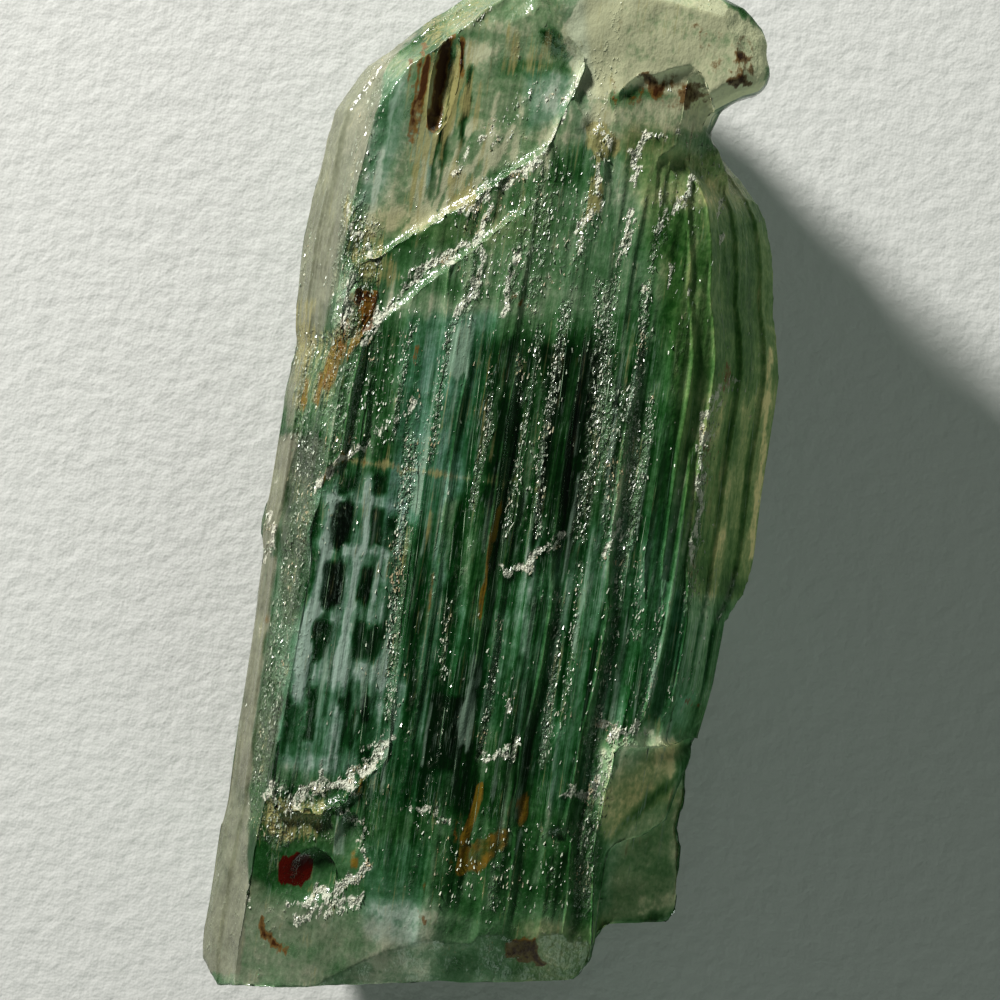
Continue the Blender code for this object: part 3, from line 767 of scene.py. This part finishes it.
lines["rust"] = [
    (1.0, 5, 450, 32, 447, 58, 441, 76, 432, 126),
    (0.7, 6, 462, 34, 458, 74),
    (0.7, 3, 422, 40, 418, 74, 411, 120),
    (0.6, 2, 410, 54, 408, 80),
    (0.6, 4, 612, 92, 618, 98),
    (0.9, 4, 258, 922, 262, 936, 271, 944, 284, 955),
    (0.7, 3, 268, 944, 290, 948),
    (0.5, 3, 418, 910, 424, 924),
    (0.4, 3, 396, 930, 400, 936),
    (0.5, 3, 740, 50, 744, 56),
    (0.5, 3, 508, 299, 534, 299),
    (0.6, 4, 418, 344, 412, 372),
    (0.5, 5, 366, 286, 340, 340, 320, 380),
    (0.35, 4, 459, 800, 452, 870),
    (0.5, 5, 690, 704, 700, 706),
]
lines["pale"] = [
    (0.45, 3, 688, 706, 676, 722, 668, 742, 662, 770, 650, 800, 636, 818, 607, 838),
    (0.9, 3, 440, 30, 434, 70, 428, 112),
    (0.5, 4, 520, 830, 512, 857),
    (0.4, 7, 420, 440, 414, 510),
    (0.5, 6, 434, 360, 424, 440, 414, 510),
]
lines["dark"] = [
    (0.6, 8, 399, 560, 396, 600, 394, 640),
    (0.5, 12, 510, 350, 500, 420, 490, 500),
    (0.6, 14, 590, 360, 582, 430, 570, 500),
    (0.5, 10, 556, 380, 545, 450, 530, 540),
    (0.5, 6, 428, 530, 416, 620, 408, 700),
    (0.5, 8, 640, 660, 630, 740),
]
# Streaks that lie along the crystal, scattered over an outline: kind, strength, least and greatest width,
# least and greatest length, how many, outline
sheaves = [
    ("light", 0.24, (3.0, 4.5), (30, 170), 100, [(480, 330), (660, 320), (640, 760), (420, 760), (400, 640)]),
    ("light", 0.14, (3.0, 6.0), (40, 160), 40, [(640, 230), (760, 240), (740, 580), (640, 600)]),
    ("light", -0.20, (4.0, 8.0), (40, 160), 60, [(440, 340), (660, 320), (640, 760), (400, 760)]),
    ("light", 0.16, (3.0, 5.0), (20, 90), 46, [(380, 60), (600, 60), (640, 290), (400, 310), (360, 200)]),
    ("light", 0.24, (3.0, 5.0), (20, 90), 60, [(300, 330), (410, 330), (400, 760), (270, 780)]),
    ("tan", 0.9, (3.0, 5.0), (40, 110), 16, [(416, 34), (474, 30), (466, 90), (430, 130), (414, 130)]),
    ("tan", 0.8, (3.0, 5.0), (20, 80), 14, [(420, 40), (480, 30), (490, 190), (440, 200), (408, 170)]),
    ("rust", 0.9, (3.0, 4.5), (20, 80), 8, [(412, 34), (478, 30), (462, 100), (412, 110)]),
    ("dark", 1.0, (3.0, 4.5), (30, 90), 14, [(400, 40), (478, 40), (462, 120), (396, 130)]),
    ("pale", 0.8, (3.0, 4.0), (20, 70), 14, [(386, 60), (450, 40), (440, 130), (384, 150)]),
    ("pale", 0.45, (3.0, 4.5), (20, 80), 34, [(300, 480), (400, 480), (395, 740), (290, 760)]),
    ("pale", 0.6, (3.0, 4.0), (30, 110), 36, [(430, 340), (700, 320), (680, 740), (420, 740)]),
    ("dark", 0.7, (3.0, 5.0), (20, 70), 40, [(276, 560), (320, 480), (400, 480), (395, 700), (370, 760), (270, 780)]),
    ("tan", 0.6, (3.0, 4.0), (20, 90), 16, [(380, 340), (520, 340), (500, 640), (300, 700)]),
]
markSetup = {
    "wisps": 3,  # thin strokes for each scar
    "step": 8.0,  # units of the frame between their points
    "stray": 0.8,  # how far they part, in widths
    "width": 0.32,  # of a wisp, in widths of its scar
    "least": 2.2,
    "wispSeed": 29,
    "lean": -0.155,  # how far the growth lines move across the frame for each unit down it
    "sheafSeed": 5,
}


def inPairs(rows):
    # (strength, reach, u, v, u, v, ...) becomes (strength, reach, [(u, v), (u, v), ...])
    return [(strength, reach, list(zip(spots[::2], spots[1::2]))) for strength, reach, *spots in rows]


def wispLines(strokes):
    # each stroke becomes a few thin ones, which part and meet again
    rng = np.random.default_rng(markSetup["wispSeed"])
    found = []
    for strength, width, line in strokes * markSetup["wisps"]:
        points = []
        for start, end in zip(np.array(line[:-1], float), np.array(line[1:], float)):
            run = end - start
            across = np.array((-run[1], run[0])) / np.hypot(*run)
            steps = max(1, round(np.hypot(*run) / markSetup["step"]))
            for step in range(steps):
                points.append(start + run * step / steps + across * rng.normal(0.0, width * markSetup["stray"]))
        points.append(end)
        found.append((strength * rng.uniform(0.6, 1.0), max(markSetup["least"], width * markSetup["width"]), points))
    return found


patches = {kind: inPairs(rows) for kind, rows in patches.items()}
lines = {kind: inPairs(rows) for kind, rows in lines.items()}
lines["scar"] = wispLines(lines["scar"])
markKinds = sorted(set(patches) | set(lines) - {"thread"})


def sheafLines(kind):
    found = []
    for number, (owner, strength, widths, lengths, count, outline) in enumerate(sheaves):
        if owner == kind:
            rng = np.random.default_rng((markSetup["sheafSeed"], number))
            low, high = np.min(outline, axis=0), np.max(outline, axis=0)
            starts = rng.uniform(low, high, (count * 4, 2))
            for start in starts[patchMask(starts, outline, 1.0) > 0.5][:count]:
                run = rng.uniform(*lengths)
                end = start + np.array((markSetup["lean"] * run, run))
                found.append((strength * rng.uniform(0.5, 1.0), rng.uniform(*widths), [start, end]))
    return found


def markValues(kind, places, seen):
    total = np.zeros(len(places))
    for strength, soften, outline in patches.get(kind, []):
        total += strength * patchMask(places, outline, soften)
    for strength, width, line in lines.get(kind, []) + sheafLines(kind):
        total += strength * strokeMask(places, line, width)
    return total * seen


def sparkleBands(points):
    # bands along the crystal where its skin is rough, and glitters
    return smooth(0.56, 0.68, layered(points, *crystalSetup["cells"]["sparkle"]))


def grownRelief(points, normals):
    # growth terraces with thin risers, drawn out along the crystal
    cells = crystalSetup["cells"]
    broad = noise(points, *cells["broad"]) * 0.7 + noise(points, *cells["narrow"]) * 0.3
    levels = broad * crystalSetup["steps"]
    terrace = (np.floor(levels) + smooth(0.4, 0.6, levels - np.floor(levels))) / crystalSetup["steps"]
    ridge = 1.0 - np.abs(noise(points, *cells["ridge"]) * 2.0 - 1.0) ** 0.6
    thread = noise(points, *cells["thread"])
    grown = crystalSetup["terrace"] * (terrace - 1.0) + crystalSetup["ridge"] * (ridge - 1.0)
    grown += crystalSetup["thread"] * (thread - 1.0)
    return grown * (1.0 - 0.6 * smooth(*crystalSetup["right"], normals[:, 0]))


def carveCrystal(obj):
    mesh, cells = obj.data, crystalSetup["cells"]
    points, normals = getPoints(mesh), getNormals(mesh)
    reach, across, down = crystalSetup["ledge"]
    u, v = toFrame(points).T
    points[:, 0] += reach * smooth(*across, u) * smooth(*down, v)
    places = toFrame(points)
    for axis, (reach, size) in enumerate(crystalSetup["wander"]):
        places[:, axis] += (layered(points, *size) - 0.5) * reach
    seen = smooth(*crystalSetup["seen"], normals[:, 2])
    along = 1.0 - smooth(*crystalSetup["ends"], np.abs(normals[:, 1]))  # 1 on the grown faces, 0 on the broken ends
    loose = smooth(*crystalSetup["footing"], points[:, 2])  # 0 on the face that lies on the table
    marks = {
        kind: berylSetup["base"].get(kind, 0.0) + markValues(kind, places, seen)
        for kind in markKinds if kind not in ("fill", "worn")
    }
    rough, scar, bare = (np.clip(marks[kind], 0.0, 1.0) for kind in ("rough", "scar", "break"))
    grown = grownRelief(points, normals)
    shell = crystalSetup["break"] * (layered(points, *cells["shell"]) - 1.0)
    broken = np.clip(1.0 - along + bare, 0.0, 1.0)
    grit = noise(points, *cells["grit"]) - 0.5
    high, deep = crystalSetup["scarFacets"]
    lift = grown * (1.0 - broken) + shell * broken
    lift += grit * (crystalSetup["grit"]["rough"] * rough + crystalSetup["grit"]["scar"] * scar)
    lift += scar * (layered(points, *cells["facet"]) * high - deep)
    points = points + normals * (lift * loose)[:, None]
    least, uneven = crystalSetup["fill"]
    filled = markValues("fill", places, points[:, 2] > least) - uneven * noise(points, *cells["splinter"])
    points[:, 2] = np.maximum(points[:, 2], np.maximum(filled, 0.0))
    worn = markValues("worn", places, 1.0)
    points[:, 2] = np.where(worn > 0.0, np.minimum(points[:, 2], crystalSetup["top"] - worn), points[:, 2])
    setPoints(mesh, points)
    # painted light: faces turned from the lamp are painted lighter, standing in for light that spreads inside the
    # crystal, so that they look nearly as light as the rest
    shaded = (1.0 - smooth(*crystalSetup["shade"], normals @ np.array(lampDirection()))) * seen
    marks["glow"] = np.minimum(marks["glow"] + shaded, 1.0)
    marks["teal"] -= 0.4 * smooth(*crystalSetup["right"], normals[:, 0]) * seen * (1.0 - bare)
    marks["cloudy"] = np.maximum(marks["cloudy"], 1.0 - along)
    marks["rough"] += 0.45 * sparkleBands(points) * seen * (1.0 - smooth(*crystalSetup["farRight"], normals[:, 0]))
    for kind, values in marks.items():
        if kind != "break":
            setAttribute(mesh, kind, values)


berylSetup = {
    "ior": 1.577,
    "absorption": (0.20, 0.56, 0.36),
    "density": 80.0,
    "clear": (0.93, 0.98, 0.95),
    "base": {"light": 0.40, "frost": 0.76},  # what these marks start from, before their patches and lines
    "tan": (0.31, 0.28, 0.11),
    "ochre": (0.145, 0.095, 0.006),
    "amber": (0.13, 0.055, 0.006),
    "rust": (0.036, 0.012, 0.004),
    "red": (0.055, 0.003, 0.001),
    "skin": (0.205, 0.203, 0.143),
    "scar": (0.66, 0.65, 0.54),
    "pale": (0.25, 0.37, 0.27),
    # painted highlight: a pale tint laid on the rough bands for their glitter
    "paintedGlitter": (0.20, 0.26, 0.17),
    # colour inside the crystal, from its darkest green to its frosted skin
    "inside": [
        (0.0, (0.0005, 0.0140, 0.0012)), (0.18, (0.0022, 0.0290, 0.0032)), (0.36, (0.010, 0.056, 0.0105)),
        (0.52, (0.034, 0.108, 0.034)), (0.68, (0.082, 0.175, 0.078)), (0.84, (0.18, 0.27, 0.155)),
        (1.0, (0.42, 0.46, 0.32)),
    ],
    # painted light: how strongly the faces turned from the lamp and the shaded ledge are painted lighter
    "glow": 0.9,  # how much lighter the crystal is where it is turned from the lamp
    "blueGreen": (0.74, 1.0, 1.26),
    "mossy": (1.02, 0.82, 0.54),
    # noise drawn out along the crystal: its length in widths, its grains per mm across, its detail
    "streaks": {
        "bands": (16.0, 1.1, 3.0), "fine": (40.0, 4.2, 2.0), "hair": (50.0, 10.0, 1.0),
        "veils": (0.08, 0.06, 2.0), "grain": (1.6, 4.2, 2.0),
    },
    "streakRoughness": 0.62,
    "cloud": {"Scale": 520.0, "Detail": 4.0, "Roughness": 0.65},
    "striped": (0.48, 0.55, 0.35),  # shares of the bands, the fine streaks and the hair
    "lines": {"Distance": 0.00010},
    "relief": {"Distance": 0.00045},
    "veil": (0.1, 1.0),  # least and most of the light that is turned back
    # where each mark starts to show, and where it is full
    "fades": {
        "rough": (0.40, 1.05), "scar": (0.45, 0.85), "hairline": (0.014, 0.004), "hairlineGaps": (-0.08, 0.10),
        "tint": (0.0, 0.9), "frosted": (0.15, 0.85), "pale": (0.2, 0.9), "buff": (0.25, 1.2),
        "stained": (0.0, 0.3), "ochre": (0.35, 1.1), "amber": (0.7, 1.4), "dirt": (0.25, 0.7), "rust": (0.65, 1.3),
        "red": (0.3, 0.7), "stainVeil": (0.3, 0.8), "dirtVeil": (0.3, 0.7),
    },
}


def beryl():
    material, start = newMaterial("beryl")
    fades = berylSetup["fades"]
    place = start.node("ShaderNodeTexCoord", output=3)

    def painted(name):
        return start.node("ShaderNodeAttribute", {"attribute_name": name}, 2)

    def streaks(name):
        length, scale, detail = berylSetup["streaks"][name]
        drawn = start.node("ShaderNodeMapping", Vector=place, Scale=(1 / mm, 1 / mm / length, 1 / mm))
        roughness = berylSetup["streakRoughness"]
        return start.node("ShaderNodeTexNoise", Vector=drawn, Scale=scale, Detail=detail, Roughness=roughness) - 0.5

    def shade(name):
        return colorOf(start, berylSetup[name])

    def tinted(color, tint):
        settings = {"data_type": "RGBA", "blend_type": "MULTIPLY"}
        return start.node("ShaderNodeMix", settings, 2, _0=1.0, _6=color, _7=(*berylSetup[tint], 1.0))

    bands, fine, hair, veils, grain = (streaks(name) for name in ("bands", "fine", "hair", "veils", "grain"))
    cloud = start.node("ShaderNodeTexNoise", Vector=place, **berylSetup["cloud"]) - 0.5

    rough = (painted("rough") + grain * 2.2).ramp(*fades["rough"])
    scar = (painted("scar") + grain * 1.9 + cloud * 1.3).ramp(*fades["scar"])
    hairline = fine.math("ABSOLUTE").ramp(*fades["hairline"]) * cloud.ramp(*fades["hairlineGaps"])

    # the inside, from its darkest green to pale, striped or clouded
    cloudy = painted("cloudy").math("MINIMUM", 1.0)
    bandShare, fineShare, hairShare = berylSetup["striped"]
    striped = bands * bandShare + fine * fineShare + hair * hairShare
    light = painted("light") + striped + (cloud * 0.62 - striped) * cloudy + veils * 0.35 + grain * 0.4
    light = light - painted("dark") * (0.36 + striped * 0.6)
    inner = start.node("ShaderNodeValToRGB", {"stops": berylSetup["inside"]}, Fac=light)
    inner = tinted(inner, "blueGreen").over(inner, painted("teal").ramp(*fades["tint"]))
    inner = tinted(inner, "mossy").over(inner, (painted("teal") * -1.0).ramp(*fades["tint"]))
    # painted light: the inside colour is made lighter on faces turned from the lamp and on the ledge in cast shadow
    inner = inner.scaled(1.0 + painted("glow") * berylSetup["glow"])

    # its frosted skin and what lies on it
    frosted = (painted("skin") + cloud * 0.7).ramp(*fades["frosted"])
    frostedSkin = shade("skin").scaled(1.0 + cloud * 1.3 + grain * 0.9)
    inner = frostedSkin.over(inner, frosted * 0.85)
    inner = shade("pale").over(inner, (painted("pale") + fine * 2.0).ramp(*fades["pale"]) * 0.8)
    inner = shade("pale").over(inner, hairline * (1.0 - cloudy) * 0.5)
    # painted highlight: the rough bands are tinted paler for their glitter
    inner = shade("paintedGlitter").over(inner, rough * 0.22)
    buff = (painted("tan") + fine * 2.0 + hair * 1.6 + cloud * 1.4).ramp(*fades["buff"]) * 0.8
    inner = shade("tan").over(inner, buff)
    ochre, rust = painted("ochre"), painted("rust")
    wander = fine * 2.4 * (1.0 - cloudy) + cloud * (1.4 + cloudy * 1.4)
    stain = ochre + wander * ochre.ramp(*fades["stained"])
    stainColor = shade("ochre").over(shade("amber"), stain.ramp(*fades["amber"]))
    inner = stainColor.over(inner, stain.ramp(*fades["ochre"]) * 0.9)
    inner = shade("scar").over(inner, scar * 0.7)
    dirt = rust + (wander + grain * 1.4) * rust.ramp(*fades["stained"])
    inner = shade("amber").over(inner, dirt.ramp(*fades["dirt"]) * 0.85)
    inner = shade("rust").over(inner, dirt.ramp(*fades["rust"]) * 0.95)
    inner = shade("red").over(inner, (painted("red") + fine + cloud).ramp(*fades["red"]))

    lines = start.node("ShaderNodeBump", Height=fine, Strength=(1.0 - cloudy) * 0.5, **berylSetup["lines"])
    raised = rough.most(scar) * 0.8 + 0.12
    relief = start.node("ShaderNodeBump", Height=grain, Strength=raised, Normal=lines, **berylSetup["relief"])
    clear = start.node(
        "ShaderNodeBsdfPrincipled", Base_Color=(*berylSetup["clear"], 1.0), Roughness=0.05, IOR=berylSetup["ior"],
        Transmission_Weight=1.0, Normal=relief,
    )
    body = start.node(
        "ShaderNodeBsdfPrincipled", Base_Color=inner, Roughness=0.2 + scar * 0.2 + painted("glow") * 0.4, IOR=1.45,
        Specular_IOR_Level=0.3, Normal=relief,
    )
    # how much of the clear crystal is veiled
    least, most = berylSetup["veil"]
    veil = painted("frost") + bands * 0.5 - painted("dark") * 0.25
    stainVeil, dirtVeil = stain.ramp(*fades["stainVeil"]), dirt.ramp(*fades["dirtVeil"])
    veil = veil.most(frosted * 0.8, rough * 0.85, scar, stainVeil, dirtVeil, buff)
    veil = veil.math("MINIMUM", most).math("MAXIMUM", least)
    surface = start.node("ShaderNodeMixShader", _0=veil, _1=clear, _2=body)
    color, density = (*berylSetup["absorption"], 1.0), berylSetup["density"]
    surface.finish(Volume=start.node("ShaderNodeVolumeAbsorption", Color=color, Density=density))
    return material


grainSetup = {
    "scarPerUnit": 0.07,  # grains for each unit of the frame, squared, on a scar of strength 1
    "roughPerUnit": 0.085,
    "spread": 0.55,  # of the grains over a line's width
    "loose": 24000,  # tries at placing a sliver anywhere on the face, most of which fall outside its rough bands
    "face": ((215.0, 60.0), (775.0, 960.0)),  # the corners of that part of the frame
    "bandShare": (0.25, 0.03),  # of the tries kept on a rough band, and off it
    # mm, half the width, length and thickness of a grain, and of a sliver, which lies along the crystal
    "grain": ((0.012, 0.062), (0.020, 0.110), (0.008, 0.018)),
    "sliver": ((0.008, 0.030), (0.030, 0.180), (0.007, 0.012)),
    "sideways": {"grain": 1.5, "sliver": 0.18},  # how far they turn from lying along the crystal
    "small": 2.2,  # the higher, the more of them are small
    "turned": 1.6,  # how much more a flake faces the lamp than it lies on the skin
    "jitter": 0.45,
    "knock": 0.5,  # how far its corners are out of square, in half widths
    "slope": 0.3,  # none lie where the surface looks up less than this
    "batch": 200,  # made at a time, because each operator walks its whole mesh
    "seed": 7,
    # its finish: colours, noises as (scale, detail), and where each colour fades in
    "pale": (0.50, 0.54, 0.43), "tan": (0.42, 0.34, 0.20), "green": (0.05, 0.11, 0.05),
    "patches": (520.0, 2.0), "specks": (3600.0, 1.0),
    "tanFade": (0.50, 0.66), "greenFade": (0.44, 0.62), "greenShare": 0.85, "roughness": 0.16,
}


def surfaceAt(solid, u, v):
    # the place on the crystal that is seen at (u, v), in mm, and which way the surface faces there
    z = crystalSetup["top"]
    for turn in range(3):  # closer each time, since the place shifts with its height
        start = Vector((*fromFrame(u, v, z), crystalSetup["above"]))
        spot, normal, face, distance = solid.ray_cast(start * mm, Vector((0.0, 0.0, -1.0)))
        if spot is None:
            return None, None
        z = spot.z / mm
    return spot / mm, normal


def strokeSpots(rng, strength, width, line, density):
    # places scattered along a broken line in the frame, more of them near its middle
    spots = []
    for start, end in zip(line, line[1:]):
        start, end = Vector(start), Vector(end)
        run = end - start
        across = Vector((-run.y, run.x)).normalized()
        for turn in range(rng.poisson(density * strength * width * 2.0 * run.length)):
            spots.append(start + run * rng.uniform() + across * rng.normal(0.0, width * grainSetup["spread"]))
    return spots


def patchSpots(rng, strength, outline, density):
    low, high = np.min(outline, axis=0), np.max(outline, axis=0)
    spots = rng.uniform(low, high, (rng.poisson(density * strength * np.prod(high - low)), 2))
    return [Vector(spot) for spot in spots[patchMask(spots, outline, 1.0) > 0.5]]


def bandSpots(rng):
    tries = rng.uniform(*grainSetup["face"], (grainSetup["loose"], 2))
    top = crystalSetup["top"]
    places = np.array([(*fromFrame(u, v, top), top) for u, v in tries])
    onBand, offBand = grainSetup["bandShare"]
    kept = sparkleBands(places) * onBand + offBand > rng.uniform(size=len(tries))
    for strength, soften, outline in patches["break"]:
        kept &= patchMask(tries, outline, 1.0) < 0.5
    return [Vector(spot) for spot in tries[kept]]


def addGrain(bm, rng, place, normal, kind):
    # a thin flake, most often turned so that it sends the lamp's light up
    share = rng.uniform() ** grainSetup["small"]
    half = Vector(low + (high - low) * share for low, high in grainSetup[kind])
    glint = (Vector(lampDirection()) + Vector((0.0, 0.0, 1.0))).normalized()
    stray = Vector(rng.normal(0.0, grainSetup["jitter"], 3))
    out = (glint * grainSetup["turned"] + normal + stray).normalized()
    along = Vector((rng.normal(0.0, grainSetup["sideways"][kind]), 1.0, 0.0))
    across = along.cross(out).normalized()
    along = out.cross(across)
    shape = Matrix.Identity(4)
    for column, (axis, size) in enumerate(zip((across, along, out), half)):
        shape.col[column] = (*(axis * size * mm), 0.0)
    shape.col[3] = (*((place - normal * half.z * 0.5) * mm), 1.0)
    made = bmesh.ops.create_cube(bm, size=2.0, matrix=shape)
    knock = grainSetup["knock"]
    for vert in made["verts"]:
        vert.co += Vector(rng.uniform(-knock, knock, 3) * half.x * mm)


def makeGrains(solid):
    rng = np.random.default_rng(grainSetup["seed"])
    spots = {"sliver": bandSpots(rng), "grain": []}
    for strength, width, line in lines["scar"]:
        found = strokeSpots(rng, strength, width, line, grainSetup["scarPerUnit"])
        spots["grain"] += found[::3]
        spots["sliver"] += found[1::3] + found[2::3]
    for strength, width, line in lines["rough"]:
        spots["sliver"] += strokeSpots(rng, strength, width, line, grainSetup["roughPerUnit"])
    for strength, soften, outline in patches["rough"]:
        spots["sliver"] += patchSpots(rng, strength, outline, grainSetup["roughPerUnit"])
    whole = bmesh.new()
    for kind, places in spots.items():
        for first in range(0, len(places), grainSetup["batch"]):
            batch = bmesh.new()
            for spot in places[first:first + grainSetup["batch"]]:
                place, normal = surfaceAt(solid, *spot)
                if place is not None and normal.z > grainSetup["slope"]:
                    addGrain(batch, rng, place, normal, kind)
            part = bpy.data.meshes.new("part")
            batch.to_mesh(part)
            batch.free()
            whole.from_mesh(part)
            bpy.data.meshes.remove(part)
    mesh = bpy.data.meshes.new("brokenGrains")
    whole.to_mesh(mesh)
    whole.free()
    return linkedObject("brokenGrains", mesh)


def patchNoise(start, size):
    place = start.node("ShaderNodeTexCoord", output=3)
    return start.node("ShaderNodeTexNoise", Vector=place, Scale=size[0], Detail=size[1])


def polished(start, color, roughness):
    return start.node("ShaderNodeBsdfPrincipled", Base_Color=color, Roughness=roughness, IOR=berylSetup["ior"])


def grainsMaterial():
    material, start = newMaterial("grains")
    patchy, speckled = patchNoise(start, grainSetup["patches"]), patchNoise(start, grainSetup["specks"])
    pale, tan, green = (colorOf(start, grainSetup[name]) for name in ("pale", "tan", "green"))
    color = tan.over(pale, patchy.ramp(*grainSetup["tanFade"]))
    color = green.over(color, speckled.ramp(*grainSetup["greenFade"]) * grainSetup["greenShare"])
    polished(start, color, grainSetup["roughness"] + speckled * 0.2).finish()
    return material


threadSetup = {
    "half": 0.024,  # mm, half the width of a thread
    "step": 0.6,  # mm between its points
    "sunk": 0.012,
    "merge": 0.0005,
    "loose": 46,  # threads besides those that are placed
    "face": ((330.0, 740.0), (150.0, 800.0)),  # where they start, across and down the frame
    "lengths": (40.0, 190.0),
    "leans": (0.10, 0.17),
    "thickness": (0.5, 1.3),
    "perMm": 17.5,
    "seed": 19,
    "light": (0.30, 0.42, 0.27), "deep": (0.04, 0.11, 0.05),
    "patches": (700.0, 3.0), "deepFade": (0.40, 0.62), "roughness": 0.2,
}


def threadRuns(rng):
    runs = [line for strength, width, line in lines["thread"]]
    across, down = threadSetup["face"]
    for turn in range(threadSetup["loose"]):
        u, v = rng.uniform(*across), rng.uniform(*down)
        length = rng.uniform(*threadSetup["lengths"])
        lean = rng.uniform(*threadSetup["leans"])
        runs.append([(u, v), (u - lean * length * 0.5, v + length * 0.5), (u - lean * length, v + length)])
    return runs


def threadPoints(solid, line):
    # points along a line in the frame, laid on the crystal
    points = []
    for start, end in zip(line, line[1:]):
        steps = max(2, int(math.dist(start, end) / threadSetup["perMm"] / threadSetup["step"]))
        for step in range(steps):
            u, v = (a + (b - a) * (step / steps) for a, b in zip(start, end))
            spot, normal = surfaceAt(solid, u, v)
            if spot is not None:
                points.append(spot - normal * threadSetup["sunk"])
    return points


def makeThreads(solid):
    rng = np.random.default_rng(threadSetup["seed"])
    curve = bpy.data.curves.new("growthThreads", "CURVE")
    curve.dimensions = "3D"
    curve.bevel_depth = threadSetup["half"] * mm
    curve.bevel_resolution = 0
    curve.use_fill_caps = True
    for line in threadRuns(rng):
        points = threadPoints(solid, line)
        if len(points) < 4:
            continue
        spline = curve.splines.new("POLY")
        spline.points.add(len(points) - 1)
        for number, (target, point) in enumerate(zip(spline.points, points)):
            target.co = (*(point * mm), 1.0)
            taper = min(1.0, 0.3 + number / 4, 0.3 + (len(points) - 1 - number) / 4)  # thin at both ends
            target.radius = rng.uniform(*threadSetup["thickness"]) * taper
    guide = linkedObject("threadGuide", curve)
    graph = bpy.context.evaluated_depsgraph_get()
    mesh = bpy.data.meshes.new_from_object(guide.evaluated_get(graph))
    bpy.data.objects.remove(guide)
    bm = bmesh.new()
    bm.from_mesh(mesh)
    bmesh.ops.remove_doubles(bm, verts=bm.verts, dist=threadSetup["merge"] * mm)
    bmesh.ops.recalc_face_normals(bm, faces=bm.faces)
    bm.to_mesh(mesh)
    bm.free()
    return linkedObject("growthThreads", mesh)


def threadsMaterial():
    material, start = newMaterial("threads")
    patchy = patchNoise(start, threadSetup["patches"])
    light, deep = (colorOf(start, threadSetup[name]) for name in ("light", "deep"))
    color = deep.over(light, patchy.ramp(*threadSetup["deepFade"]))
    polished(start, color, threadSetup["roughness"] + patchy * 0.2).finish()
    return material


makeCamera()
makeFloor()
makeLight()
print("stage ready")

body = crystalCopy()
print("crystal remeshed:", len(body.data.vertices), "points")
carveCrystal(body)
body.data.materials.append(beryl())
body.data.shade_smooth()
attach(body, "root")
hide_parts("crystal")
print("crystal carved:", sum(len(face.vertices) - 2 for face in body.data.polygons), "triangles")

carved = BVHTree.FromObject(body, bpy.context.evaluated_depsgraph_get())
for piece, material in ((makeGrains(carved), grainsMaterial()), (makeThreads(carved), threadsMaterial())):
    piece.data.materials.clear()
    piece.data.materials.append(material)
    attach(piece, "root")
    print(piece.name, "made:", len(piece.data.polygons), "faces")
